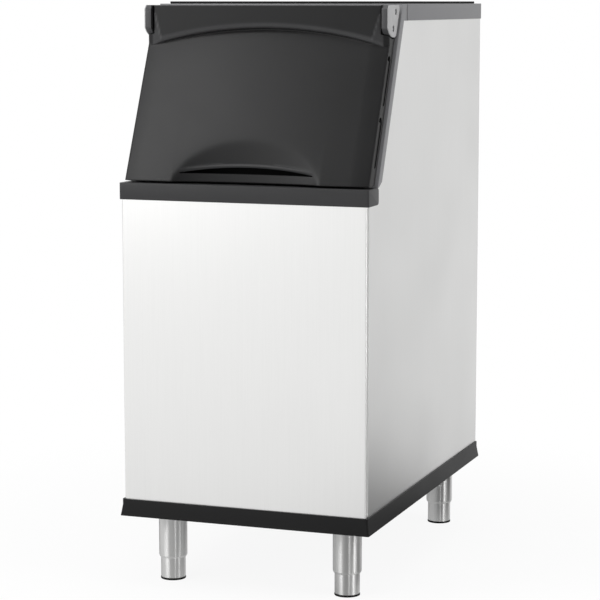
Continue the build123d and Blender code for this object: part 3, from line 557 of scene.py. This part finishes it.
def face_y(x, z):
    """Door face below the brow: leaning plane, crown, sloping borders and scoop."""
    plane = DOOR_SETBACK + (z - DOOR_BOTTOM) * face_tan
    border = DOOR_HALF - BORDER_WIDTH
    inside = min(abs(x), border) / border
    outside = max(0.0, abs(x) - border) / BORDER_WIDTH
    sunk = CROWN_DEPTH * inside**2 + BORDER_DROP * outside**BORDER_CURVE
    y = plane + sunk / math.cos(math.radians(FACE_ANGLE))
    if abs(x) < SCOOP_HALF:
        apex = DOOR_SETBACK + SCOOP_HEIGHT * face_tan
        tilt = math.radians(SCOOP_TILT)
        axis = apex - SCOOP_DEPTH + (z - DOOR_BOTTOM - SCOOP_HEIGHT) * math.tan(tilt)
        bowl = axis + SCOOP_DEPTH / math.cos(tilt) * math.sqrt(1 - (x / SCOOP_HALF) ** 2)
        y = soft_max(y, bowl, SCOOP_BLEND)
    return y


def lip(x, z):
    """How far the rolled lip over the slot stands out of the scoop."""
    above = (z - DOOR_BOTTOM - slot_top(x)) / LIP_HEIGHT
    along = max(0.0, 1 - (abs(x) / SLOT_HALF) ** 2)
    if not 0 <= above <= 1:
        return 0.0
    return LIP_PROUD * math.sin(math.pi * above) * math.sqrt(along)


def brow_y(x, z):
    """Nearly upright brow over the arch, with the facets at its lower corners."""
    y = bend_y + (z - bend_z) * brow_tan
    outwards = (abs(x) - FACET_INNER) / (FACET_OUTER - FACET_INNER)
    climb = (z - DOOR_TOP + FACET_LOW) / (FACET_LOW - FACET_HIGH)
    y += FACET_DEPTH * max(0.0, outwards - climb)
    return min(y, face_y(x, z))


def foot_roll(height):
    """How far the rounded lower edge lies behind the face at a height above the door's bottom."""
    if height >= EDGE_RADIUS:
        return 0.0
    return EDGE_RADIUS * (1 - math.sin(math.acos(1 - height / EDGE_RADIUS)))


def column(x, setback):
    """Outline of the door at one x, from its bottom front edge up and round the back."""
    points = []
    low, high = slot_top(x), arch_height(x)
    # Heights below the brow: the foot, the slot's two lines, the lip and the open face
    foot = [0.0, 0.7, 1.6, 3.0, 6.0, 9.0, 12.0, 15.0, SLOT_LOW - 1.0, SLOT_LOW]
    heights = foot + [low]
    heights += [low + LIP_HEIGHT * k / 10 for k in range(1, 11)]
    start = low + LIP_HEIGHT
    open_rows = 72
    span = high - ARCH_FILLET - DOOR_BOTTOM - start
    heights += [start + span * k / open_rows for k in range(1, open_rows + 1)]
    for h in heights:
        z = DOOR_BOTTOM + h
        points.append((face_y(x, z) - lip(x, z) + setback + foot_roll(h), z))
    # Hollow fillet under the brow, its underside, the rolled arch edge and the brow itself
    shelf = face_y(x, high)
    overhang = shelf - brow_y(x, high)
    rise = arch_round(x)
    roll_depth = min(rise, ROLL_SHARE * overhang)
    hollow = min(ARCH_FILLET, HOLLOW_SHARE * overhang)
    fillet_low = (face_y(x, high - ARCH_FILLET), high - ARCH_FILLET)
    for t in (0.25, 0.5, 0.75, 1.0):
        y = (1 - t) ** 2 * fillet_low[0] + 2 * t * (1 - t) * shelf + t**2 * (shelf - hollow)
        z = (1 - t) ** 2 * fillet_low[1] + (1 - (1 - t) ** 2) * high
        points.append((y + setback, z))
    for k in range(9):
        turn = math.pi / 2 * k / 8
        z = high + rise * (1 - math.cos(turn))
        points.append((brow_y(x, z) + roll_depth * (1 - math.sin(turn)) + setback, z))
    brow_rows = 16
    brow_top = DOOR_TOP - EDGE_RADIUS
    for k in range(1, brow_rows + 1):
        z = high + rise + (brow_top - high - rise) * k / brow_rows
        points.append((brow_y(x, z) + setback, z))
    for k in range(1, 5):
        turn = math.pi / 2 * k / 4
        z = brow_top + EDGE_RADIUS * math.sin(turn)
        points.append((brow_y(x, brow_top) + EDGE_RADIUS * (1 - math.cos(turn)) + setback, z))
    # Back: the arc that turns past the header, then the slope down to the foot
    back_radius = PIVOT_OFFSET - SEAL_GAP
    top_angle = math.asin((DOOR_TOP - PIVOT_Z) / back_radius)
    for k in range(13):
        turn = top_angle + (-slope - top_angle) * k / 12
        points.append((pivot_y + back_radius * math.cos(turn), PIVOT_Z + back_radius * math.sin(turn)))
    points.append((seal_y(DOOR_BOTTOM, SEAL_GAP), DOOR_BOTTOM))
    return points


def door_columns():
    """x of each column with its setback, which rounds the door's two upright edges."""
    inner = DOOR_HALF - EDGE_RADIUS
    turns = [math.pi / 2 * k / 4 for k in range(5)]
    edge = [(inner + EDGE_RADIUS * math.sin(t), EDGE_RADIUS * (1 - math.cos(t))) for t in turns]
    count = 138
    middle = [(-inner + 2 * inner * k / count, 0.0) for k in range(1, count)]
    left = [(-x, back) for x, back in reversed(edge)]
    return left + middle + edge


def solid_from_columns(columns):
    """Closed solid through side outlines that all have as many points."""
    shape = bmesh.new()
    loops = [[shape.verts.new(place(x, y, z)) for y, z in points] for x, points in columns]
    for near, far in zip(loops, loops[1:]):
        for i in range(len(near)):
            j = (i + 1) % len(near)
            shape.faces.new((near[i], near[j], far[j], far[i]))
    shape.faces.new(loops[0])
    shape.faces.new(loops[-1][::-1])
    bmesh.ops.recalc_face_normals(shape, faces=shape.faces)
    return shape


def bar_mesh(y, z, radius, x0, x1, around=96):
    """Round cutter along X."""
    shape = bmesh.new()
    ends = []
    for x in (x0, x1):
        ring = []
        for k in range(around):
            turn = 2 * math.pi * k / around
            ring.append(shape.verts.new(place(x, y + radius * math.cos(turn), z + radius * math.sin(turn))))
        ends.append(ring)
    for k in range(around):
        n = (k + 1) % around
        shape.faces.new((ends[0][k], ends[0][n], ends[1][n], ends[1][k]))
    shape.faces.new(ends[0])
    shape.faces.new(ends[1][::-1])
    bmesh.ops.recalc_face_normals(shape, faces=shape.faces)
    return shape


def bar_box(x0, x1, y0, y1, low, high):
    """Box cutter, with its heights above the door's bottom."""
    shape = bmesh.new()
    bmesh.ops.create_cube(shape, size=1.0)
    for vertex in shape.verts:
        x = x0 if vertex.co.x < 0 else x1
        y = y0 if vertex.co.y < 0 else y1
        z = low if vertex.co.z < 0 else high
        vertex.co = place(x, y, DOOR_BOTTOM + z)
    return shape


def slope_point(x, s, off):
    """Point at s up the mouth's plane from the sill and off out of it."""
    y = SLOPE_START + s * math.sin(slope) - off * math.cos(slope)
    z = SILL_TOP + s * math.cos(slope) + off * math.sin(slope)
    return place(x, y, z)


def slope_prism(outline, x0, x1):
    """Cutter with an outline of (s, off) points, from x0 to x1."""
    shape = bmesh.new()
    near = [shape.verts.new(slope_point(x0, s, off)) for s, off in outline]
    far = [shape.verts.new(slope_point(x1, s, off)) for s, off in outline]
    for i in range(len(near)):
        j = (i + 1) % len(near)
        shape.faces.new((near[i], near[j], far[j], far[i]))
    shape.faces.new(near)
    shape.faces.new(far[::-1])
    bmesh.ops.recalc_face_normals(shape, faces=shape.faces)
    return shape


def stadium(s0, s1, off0, off1, steps=8):
    """Outline of a slot with round ends on the slope."""
    radius, middle = (off1 - off0) / 2, (off0 + off1) / 2
    points = []
    for centre, first in ((s1 - radius, -math.pi / 2), (s0 + radius, math.pi / 2)):
        for k in range(steps + 1):
            turn = first + math.pi * k / steps
            points.append((centre + radius * math.cos(turn), middle + radius * math.sin(turn)))
    return points


def as_object(shape, name):
    mesh = bpy.data.meshes.new(name)
    shape.to_mesh(mesh)
    shape.free()
    made = bpy.data.objects.new(name, mesh)
    bpy.context.scene.collection.objects.link(made)
    return made


def closed(mesh):
    """Mesh with what a cut leaves mended: points nearly in one place, loose edges, holes of three sides."""
    shape = bmesh.new()
    shape.from_mesh(mesh)
    bmesh.ops.remove_doubles(shape, verts=shape.verts, dist=0.01 * MM)
    for edge in [edge for edge in shape.edges if edge.is_wire]:
        shape.edges.remove(edge)
    for vertex in [vertex for vertex in shape.verts if not vertex.link_edges]:
        shape.verts.remove(vertex)
    rims = [edge for edge in shape.edges if edge.is_boundary]
    bmesh.ops.holes_fill(shape, edges=rims, sides=3)
    bmesh.ops.recalc_face_normals(shape, faces=shape.faces)
    shape.to_mesh(mesh)
    shape.free()
    return mesh


def cut_away(body, cutters):
    """Mesh of body with the cutters taken out of it."""
    for cutter in cutters:
        cut = body.modifiers.new("cut", "BOOLEAN")
        cut.operation = "DIFFERENCE"
        cut.solver = "EXACT"
        cut.object = cutter
    mesh = closed(baked(body))
    for cutter in cutters:
        bpy.data.objects.remove(cutter)
    return mesh


def arch_round(x):
    """Height of the rolled edge over the arch line."""
    return ARCH_ROUND_MIDDLE + (ARCH_ROUND_SIDES - ARCH_ROUND_MIDDLE) * (x / DOOR_HALF) ** 2


def paint_highlights(mesh):
    """Stores the painted highlight on each point of the door's front, and which points lie in the slot, where
    shade is painted.
    """
    mesh.attributes.new("painted_highlight", "FLOAT", "POINT")
    mesh.attributes.new("hollow", "FLOAT", "POINT")
    marks = mesh.attributes["painted_highlight"].data
    inner = mesh.attributes["hollow"].data
    for vertex, mark, hole in zip(mesh.vertices, marks, inner):
        x, y, z = vertex.co / MM
        height = z - DOOR_BOTTOM
        # Points inside the slot get the near black painted shade
        in_slot = abs(x) < SLOT_HALF - 2 and SLOT_LOW - 1 < height < POCKET_TOP + 1
        if in_slot and face_y(x, z) + 4 < y - FRONT_Y < SLOT_BACK + 0.5:
            hole.value = 1.0
        if y - FRONT_Y > seal_y(z, 2 * SEAL_GAP) or abs(x) > FACET_OUTER + 6:
            continue
        over_arch = (z - arch_height(x)) / arch_round(x)
        over_slot = (height - slot_top(x)) / LIP_HEIGHT
        climb = (z - DOOR_TOP + FACET_LOW) / (FACET_LOW - FACET_HIGH)
        ridge = FACET_INNER + (FACET_OUTER - FACET_INNER) * climb
        # Painted highlights on the brow's rolled edge, on the facets and their ridges, on the top edge and on
        # the lip
        if HIGHLIGHT_START < over_arch < HIGHLIGHT_END:
            fade = min(HIGHLIGHT_IN * (over_arch - HIGHLIGHT_START), HIGHLIGHT_OUT * (HIGHLIGHT_END - over_arch))
            mark.value = ARCH_HIGHLIGHT * min(1.0, fade)
        if over_arch > 0 and climb < 1:
            mark.value = max(mark.value, RIDGE_HIGHLIGHT * max(0.0, 1 - abs(abs(x) - ridge) / RIDGE_WIDTH))
            if abs(x) > ridge:
                mark.value = max(mark.value, FACET_HIGHLIGHT)
        if z > DOOR_TOP - 0.6 * EDGE_RADIUS:
            mark.value = TOP_HIGHLIGHT
        if 0 < over_slot < 0.8 and abs(x) < SLOT_HALF:
            mark.value = LIP_HIGHLIGHT * (1 - (abs(x) / SLOT_HALF) ** 2)


def slope_box(low, high, near, far):
    """Outline of a box on the slope."""
    return [(low, near), (high, near), (high, far), (low, far)]


def side_cutters(side):
    """Cutters for one side of the door: ear, bore of the bushing, and two recesses with a notch each."""
    def ends(inner, outer):
        return sorted((side * inner, side * outer))

    past = DOOR_HALF + CUT_PAST
    ear = bar_mesh(pivot_y, PIVOT_Z, EAR_RADIUS, *ends(NECK_HALF, past))
    bore = bar_mesh(pivot_y, PIVOT_Z, BUSHING_RADIUS, *ends(NECK_HALF - BUSHING_DEPTH, NECK_HALF + 1), 48)
    cutters = [as_object(ear, "ear"), as_object(bore, "bore")]
    near = SEAL_GAP + RECESS_WIDTH / 2
    far = near + RECESS_WIDTH
    for index in range(2):
        low = RECESS_FIRST + index * RECESS_PITCH
        top = low + RECESS_LENGTH
        recess = slope_prism(stadium(low, top, near, far), *ends(DOOR_HALF - RECESS_DEPTH, past))
        # The notch ends just past the recess, because walls that only touch leave open edges
        end = top + NOTCH_PAST
        outline = slope_box(top - NOTCH_LENGTH, end, near + NOTCH_MARGIN, far - NOTCH_MARGIN)
        notch = slope_prism(outline, *ends(DOOR_HALF - NOTCH_DEPTH, past))
        cutters += [as_object(recess, "recess"), as_object(notch, "notch")]
    return cutters


def make_door():
    columns = [(x, column(x, setback)) for x, setback in door_columns()]
    shape = solid_from_columns(columns)
    # The slot: faces between its two lines go back into the door
    hole = []
    for face in shape.faces:
        middle = face.calc_center_median() / MM
        height = middle.z - DOOR_BOTTOM
        if face.normal.y < 0 and abs(middle.x) < SLOT_HALF and SLOT_LOW < height < slot_top(middle.x):
            if middle.y - FRONT_Y < seal_y(middle.z, 2 * SEAL_GAP):
                hole.append(face)
    moved = bmesh.ops.extrude_face_region(shape, geom=hole)
    inner = [v for v in moved["geom"] if isinstance(v, bmesh.types.BMVert)]
    bmesh.ops.delete(shape, geom=hole, context="FACES_ONLY")
    for vertex in inner:
        vertex.co.y = (FRONT_Y + SLOT_BACK) * MM
    bmesh.ops.recalc_face_normals(shape, faces=shape.faces)
    body = as_object(shape, "door_body")
    pocket = bar_box(-POCKET_HALF, POCKET_HALF, POCKET_FRONT, SLOT_BACK, SLOT_LOW + 1, POCKET_TOP)
    window = slope_box(
        WINDOW_START, WINDOW_START + WINDOW_LENGTH, SEAL_GAP - CUT_PAST, SEAL_GAP + WINDOW_DEPTH
    )
    cutters = [as_object(pocket, "pocket")]
    cutters += side_cutters(-1)
    cutters += side_cutters(1)
    cutters.append(as_object(slope_prism(window, -WINDOW_HALF, WINDOW_HALF), "window"))
    mesh = cut_away(body, cutters)
    # Painted highlights on the door's edges and painted shade in its slot
    paint_highlights(mesh)
    return finish_piece("door_moulding", mesh, door_black, ["door_shell", "grip_insert", "door_foam"])


make_door()

# Edge mouldings, bands and covers keep the CAD form, with the radii that their moulds leave
ease_edges("door_sill", 1.6, edge_black)
ease_edges("base_skirt", 1.2, skirt_black)
ease_edges("top_frame", 1.0, trim_grey)
ease_edges("left_slope_trim", 0.8, trim_grey)
ease_edges("right_slope_trim", 0.8, trim_grey)
ease_edges("header_trim", 0.6, trim_grey)
ease_edges("top_seal", 1.4, seal_black)
ease_edges("left_hinge_cover", 1.2, cover_grey_painted_lit)
ease_edges("right_hinge_cover", 1.2, cover_grey_painted_lit)

# Legs, feet and pads are turned
LEG_RADIUS = 31.5
LEG_WALL = 1.5
LEG_END = 50.0
LEG_SHOULDER = 4.5
NECK_RADIUS = 27.8
FOOT_RADIUS = 27.5
FOOT_WALL = 3.0
FOOT_TOP = 75.0
FOOT_FLOOR = 12.0
STEM_RADIUS = 8.0
STEM_TOP = LEG_HEIGHT - 16.0
PAD_HEIGHT = 4.5
PAD_RADIUS = 28.0
TURNED_EDGE = 0.6
TURNED_SIDES = 96
LEG_TOP = LEG_HEIGHT + 4.0
LEG_CAP = 6.0

leg_section = [
    (0, LEG_TOP - LEG_CAP),
    (LEG_RADIUS - LEG_WALL, LEG_TOP - LEG_CAP),
    (LEG_RADIUS - LEG_WALL, LEG_END + LEG_SHOULDER),
    (NECK_RADIUS, LEG_END + LEG_WALL),
    (NECK_RADIUS, LEG_END),
    (NECK_RADIUS + LEG_WALL, LEG_END),
    (LEG_RADIUS, LEG_END + LEG_SHOULDER),
    (LEG_RADIUS, LEG_TOP),
    (0, LEG_TOP),
]
foot_section = [
    (0, PAD_HEIGHT),
    (FOOT_RADIUS, PAD_HEIGHT),
    (FOOT_RADIUS, FOOT_TOP),
    (FOOT_RADIUS - FOOT_WALL, FOOT_TOP),
    (FOOT_RADIUS - FOOT_WALL, FOOT_FLOOR),
    (STEM_RADIUS, FOOT_FLOOR),
    (STEM_RADIUS, STEM_TOP),
    (0, STEM_TOP),
]
pad_section = [(0, 0), (PAD_RADIUS, 0), (PAD_RADIUS, PAD_HEIGHT), (0, PAD_HEIGHT)]

lathe = lathe_tree()
strip_lit = bpy.data.collections.new("lit_by_strips")
strip_lit.objects.link(frame["nodes"]["front_panel"])
for corner in ("front_left", "front_right", "rear_left", "rear_right"):
    low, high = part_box(corner + "_foot")
    x = (low.x + high.x) / 2 / MM
    y = (low.y + high.y) / 2 / MM - FRONT_Y
    for part, section, finish in (
        ("_leg", leg_section, leg_stainless),
        ("_foot", foot_section, leg_stainless),
        ("_foot_pad", pad_section, seal_black),
    ):
        mesh = turned_mesh(section, x, y, finish)
        turned = finish_piece(corner + part + "_turned", mesh, finish, [corner + part])
        strip_lit.objects.link(turned)


# Screws
def screw_tree():
    """Pan head with a cross recess, set on every point of the mesh it is given."""
    sizes = {"Head Radius": "Float", "Head Height": "Float", "Turn": "Vector"}
    tree, given = tree_with_inputs("cross_head_screws", sizes)
    radius, height = given["Head Radius"], given["Head Height"]
    slim = add_node(tree, "ShaderNodeMath", {0: radius, 1: 0.62}, operation="MULTIPLY").outputs[0]
    long = add_node(tree, "ShaderNodeMath", {0: radius, 1: 1.1}, operation="MULTIPLY").outputs[0]
    thin = add_node(tree, "ShaderNodeMath", {0: radius, 1: 0.26}, operation="MULTIPLY").outputs[0]
    head = add_node(
        tree,
        "GeometryNodeMeshCone",
        {"Vertices": 24, "Radius Top": slim, "Radius Bottom": radius, "Depth": height},
    ).outputs["Mesh"]
    # One bar goes a touch deeper, because two cuts with their floors in one plane leave open edges
    bars = []
    for first, second, lifted in ((long, thin, 1.0), (thin, long, 0.96)):
        size = add_node(tree, "ShaderNodeCombineXYZ", {0: first, 1: second, 2: height}).outputs[0]
        cube = add_node(tree, "GeometryNodeMeshCube", {"Size": size}).outputs["Mesh"]
        rise = add_node(tree, "ShaderNodeMath", {0: height, 1: lifted}, operation="MULTIPLY").outputs[0]
        lift = add_node(tree, "ShaderNodeCombineXYZ", {2: rise}).outputs[0]
        bars.append(
            add_node(tree, "GeometryNodeTransform", {"Geometry": cube, "Translation": lift}).outputs[0]
        )
    recessed = head
    for bar in bars:
        cut = add_node(tree, "GeometryNodeMeshBoolean", operation="DIFFERENCE")
        tree.links.new(recessed, cut.inputs["Mesh 1"])
        tree.links.new(bar, cut.inputs["Mesh 2"])
        recessed = cut.outputs["Mesh"]
    points = add_node(tree, "GeometryNodeMeshToPoints", {"Mesh": given["Geometry"]}).outputs[0]
    heads = add_node(
        tree,
        "GeometryNodeInstanceOnPoints",
        {"Points": points, "Instance": recessed, "Rotation": given["Turn"]},
    ).outputs[0]
    end_tree(tree, heads, given["Finish"])
    return tree


def island_boxes(node):
    """Corners of each loose solid in a CAD node."""
    shape = bmesh.new()
    shape.from_mesh(frame["nodes"][node].data)
    bmesh.ops.remove_doubles(shape, verts=shape.verts, dist=0.01 * MM)
    left = set(shape.verts)
    boxes = []
    while left:
        group, open_ends = set(), [left.pop()]
        while open_ends:
            vertex = open_ends.pop()
            group.add(vertex)
            for edge in vertex.link_edges:
                other = edge.other_vert(vertex)
                if other in left:
                    left.discard(other)
                    open_ends.append(other)
        low = Vector(min(v.co[i] for v in group) for i in range(3))
        high = Vector(max(v.co[i] for v in group) for i in range(3))
        boxes.append((low, high))
    shape.free()
    return boxes


def screw_heads(seats, head_height, turn):
    """Plain mesh of the heads at the seats, which are the points under their heads."""
    mesh = bpy.data.meshes.new("seats")
    mesh.from_pydata(seats, [], [])
    values = {"Head Radius": HEAD_RADIUS * MM, "Head Height": head_height * MM, "Turn": turn}
    return run_tree(screws, mesh, values | {"Finish": zinc_plate})


def joined(meshes):
    whole = bmesh.new()
    for mesh in meshes:
        whole.from_mesh(mesh)
    result = bpy.data.meshes.new("screws")
    whole.to_mesh(result)
    whole.free()
    return result


screws = screw_tree()
QUARTER = math.pi / 2
HEAD_RADIUS = 4.0
COVER_HEAD = 2.4
PANEL_HEAD = 1.6

cover_seats = {-1: [], 1: []}
for low, high in island_boxes("hinge_cover_screws"):
    middle = (low + high) / 2
    side = 1 if middle.x > 0 else -1
    seat_x = high.x - COVER_HEAD * MM if side > 0 else low.x + COVER_HEAD * MM
    cover_seats[side].append((seat_x, middle.y, middle.z))
cover_heads = [
    screw_heads(cover_seats[side], COVER_HEAD, (0, side * QUARTER, 0)) for side in (-1, 1)
]
finish_piece("hinge_cover_screw_heads", joined(cover_heads), zinc_plate, ["hinge_cover_screws"])

back_seats = []
for low, high in island_boxes("back_panel_screws"):
    back_seats.append(((low.x + high.x) / 2, high.y - PANEL_HEAD * MM, (low.z + high.z) / 2))
back_heads = screw_heads(back_seats, PANEL_HEAD, (-QUARTER, 0, 0))
finish_piece("back_panel_screw_heads", back_heads, zinc_plate, ["back_panel_screws"])

skirt_seats = []
for low, high in island_boxes("skirt_screws"):
    skirt_seats.append(((low.x + high.x) / 2, (low.y + high.y) / 2, low.z + PANEL_HEAD * MM))
skirt_heads = screw_heads(skirt_seats, PANEL_HEAD, (2 * QUARTER, 0, 0))
finish_piece("skirt_screw_heads", skirt_heads, zinc_plate, ["skirt_screws"])


# Studio
FLOOR_SIZE = 60.0
# Fades over the distance in metres: start, end, and the levels there. The first is how much of the
# floor is plain white, and the other two are what metal sees of it, far out and close by.
FLOOR_WHITE = (0.5, 1.5, 0.9, 1.0)
FLOOR_IN_METAL = (0.3, 3.0, 0.86, 1.0)
SHADE_IN_METAL = (0.6, 1.3, 0.78, 1.0)
# White panels stand round the object, up to this share of the way overhead. Each entry is an azimuth
# in degrees, from the front to the right, and the brightness there. The dark gaps draw lines on legs.
PANEL_TOP = 0.75
PANEL_SOFT = 0.2
PANELS = (
    (-180, 0.9),
    (-146, 0.86),
    (-138, 0.1),
    (-112, 0.1),
    (-106, 0.9),
    (-30, 1.0),
    (4, 1.0),
    (14, 0.65),
    (30, 0.65),
    (33, 1.0),
    (45, 1.0),
    (48, 0.05),
    (59, 0.05),
    (64, 1.0),
    (96, 1.0),
    (103, 0.1),
    (134, 0.1),
    (142, 0.86),
    (180, 0.9),
)
FILL_LEVEL = 0.55
# The room behind the camera is dimmer in reflections than the backdrop: its direction and its fade
DIM_SIDE = (0.583, -0.694, 0.423)
DIM_FADE = (0.31, 0.8, 1.0, 0.15)
# Camera, fitted to the object's corners in the photograph
CAMERA_PLACE = (1.6566, -4.6337, 1.2746)
CAMERA_DOWN = 0.1379
CAMERA_TURN = 0.3484
CAMERA_LENS = 128.85


def make_camera():
    data = bpy.data.cameras.new("studio_camera")
    data.sensor_width = 36.0
    data.lens = CAMERA_LENS
    data.clip_end = 50.0
    camera = bpy.data.objects.new("studio_camera", data)
    bpy.context.scene.collection.objects.link(camera)
    camera.location = CAMERA_PLACE
    camera.rotation_euler = (math.pi / 2 - CAMERA_DOWN, 0.0, CAMERA_TURN)
    bpy.context.scene.camera = camera


def ray_share(tree, *kinds):
    """1 on rays of these kinds, 0 on all others."""
    rays = add_node(tree, "ShaderNodeLightPath").outputs
    total = rays[kinds[0]]
    for kind in kinds[1:]:
        total = add_node(tree, "ShaderNodeMath", {0: total, 1: rays[kind]}, operation="MAXIMUM").outputs[0]
    return total


def fades(tree, value, steps):
    """Product of soft fades, each from one level to another while the value runs over a range."""
    product = None
    for start, end, first, last in steps:
        faded = add_node(
            tree,
            "ShaderNodeMapRange",
            {"Value": value, "From Min": start, "From Max": end, "To Min": first, "To Max": last},
            interpolation_type="SMOOTHSTEP",
        ).outputs[0]
        if product is None:
            product = faded
        else:
            product = add_node(
                tree, "ShaderNodeMath", {0: product, 1: faded}, operation="MULTIPLY"
            ).outputs[0]
    return product


def in_reflections(tree, level):
    """The level on rays from glossy surfaces, and full strength on all others."""
    glossy = ray_share(tree, "Is Glossy Ray")
    return add_node(tree, "ShaderNodeMix", {0: glossy, 2: 1.0, 3: level}, data_type="FLOAT").outputs[0]


def panels_round(tree, direction):
    """Brightness of the white panels stood round the object, with the dark gaps between them."""
    parts = add_node(tree, "ShaderNodeSeparateXYZ", {"Vector": direction}).outputs
    front = add_node(tree, "ShaderNodeMath", {0: parts[1], 1: -1.0}, operation="MULTIPLY").outputs[0]
    azimuth = add_node(tree, "ShaderNodeMath", {0: parts[0], 1: front}, operation="ARCTAN2").outputs[0]
    turn = add_node(
        tree,
        "ShaderNodeMapRange",
        {"Value": azimuth, "From Min": -math.pi, "From Max": math.pi},
    ).outputs[0]
    ramp = add_node(tree, "ShaderNodeValToRGB", {"Fac": turn})
    steps = ramp.color_ramp.elements
    while len(steps) < len(PANELS):
        steps.new(0.5)
    for step, (degrees, level) in zip(steps, PANELS):
        step.position = degrees / 360 + 0.5
        step.color = (level, level, level, 1.0)
    return ramp.outputs["Color"]


def make_floor():
    """White floor that shows the backdrop's white to the eye and to metal, and keeps the shadow."""
    bpy.ops.mesh.primitive_plane_add(size=FLOOR_SIZE)
    floor = bpy.context.object
    floor.name = "studio_floor"
    material, tree = new_material("studio_paper")
    coords = add_node(tree, "ShaderNodeTexCoord").outputs["Object"]
    away = add_node(tree, "ShaderNodeVectorMath", {0: coords}, operation="LENGTH").outputs["Value"]
    seen = ray_share(tree, "Is Camera Ray", "Is Glossy Ray", "Is Transmission Ray")
    white_share = fades(tree, away, [FLOOR_WHITE])
    share = add_node(tree, "ShaderNodeMath", {0: seen, 1: white_share}, operation="MULTIPLY").outputs[0]
    # Near the object its own shade dulls what the metal sees of the floor
    dulled = fades(tree, away, [FLOOR_IN_METAL, SHADE_IN_METAL])
    mirrored = add_node(
        tree, "ShaderNodeMath", {0: panels_round(tree, coords), 1: dulled}, operation="MULTIPLY"
    ).outputs[0]
    strength = in_reflections(tree, mirrored)
    paper = add_node(tree, "ShaderNodeBsdfDiffuse", {"Color": linear("#F2F2F2")}).outputs[0]
    white = add_node(
        tree, "ShaderNodeEmission", {"Color": linear("#FFFFFF"), "Strength": strength}
    ).outputs[0]
    shade(tree, add_node(tree, "ShaderNodeMixShader", {0: share, 1: paper, 2: white}))
    floor.data.materials.append(material)


def make_world():
    """White backdrop all round, which reflections find dimmer towards the room behind the camera."""
    world = bpy.data.worlds.new("studio_world")
    world.use_nodes = True
    tree = world.node_tree
    tree.nodes.clear()
    direction = add_node(tree, "ShaderNodeTexCoord").outputs["Generated"]
    towards = add_node(
        tree, "ShaderNodeVectorMath", {0: direction, 1: DIM_SIDE}, operation="DOT_PRODUCT"
    ).outputs["Value"]
    dimmed = fades(tree, towards, [DIM_FADE])
    height = add_node(tree, "ShaderNodeSeparateXYZ", {"Vector": direction}).outputs[2]
    above = fades(tree, height, [(PANEL_TOP - PANEL_SOFT, PANEL_TOP + PANEL_SOFT, 0.0, 1.0)])
    panels = add_node(
        tree, "ShaderNodeMix", {0: above, 2: panels_round(tree, direction), 3: 1.0}, data_type="FLOAT"
    ).outputs[0]
    dimmed = add_node(tree, "ShaderNodeMath", {0: dimmed, 1: panels}, operation="MULTIPLY").outputs[0]
    strength = in_reflections(tree, dimmed)
    seen = ray_share(tree, "Is Camera Ray", "Is Glossy Ray", "Is Transmission Ray")
    fill = add_node(
        tree, "ShaderNodeBackground", {"Color": linear("#FFFFFF"), "Strength": FILL_LEVEL}
    ).outputs[0]
    white = add_node(
        tree, "ShaderNodeBackground", {"Color": linear("#FFFFFF"), "Strength": strength}
    ).outputs[0]
    mixed = add_node(tree, "ShaderNodeMixShader", {0: seen, 1: fill, 2: white})
    add_node(tree, "ShaderNodeOutputWorld", {"Surface": mixed.outputs[0]})
    bpy.context.scene.world = world


def add_lamp(name, position, target, size, watts, height=None, lit=None):
    """Area lamp, square or with a height of its own, which lights all or only a collection."""
    data = bpy.data.lights.new(name, "AREA")
    data.size = size
    if height:
        data.shape = "RECTANGLE"
        data.size_y = height
    data.energy = watts
    lamp = bpy.data.objects.new(name, data)
    bpy.context.scene.collection.objects.link(lamp)
    lamp.location = position
    lamp.rotation_euler = (Vector(target) - Vector(position)).to_track_quat("-Z", "Y").to_euler()
    lamp.light_linking.receiver_collection = lit


make_camera()
make_floor()
make_world()
add_lamp("left_softbox", (-2.6, -3.0, 2.4), (0, 0, 0.7), 2.2, 36)
add_lamp("right_softbox", (3.4, -0.6, 2.2), (0, 0, 0.7), 2.0, 36)
add_lamp("top_softbox", (0.2, -0.6, 3.6), (0, 0, 0.6), 2.4, 28)
add_lamp("panel_glow", (-1.75, -3.2, 1.35), (-0.2, -0.43, 0.8), 1.4, 6)
add_lamp("door_softbox", (-1.25, -1.8, 2.6), (0, -0.35, 1.08), 0.8, 14)
# Low strips draw the bright lines down the legs and the front's edge, and leave the side its colour
add_lamp("leg_strip_front", (1.85, -2.75, 0.55), (0, -0.34, 0.1), 0.2, 3.2, 1.0, strip_lit)
add_lamp("leg_strip_side", (2.95, -0.95, 0.5), (0, -0.34, 0.1), 0.6, 5.4, 1.0, strip_lit)
bpy.context.scene.view_settings.view_transform = "Standard"
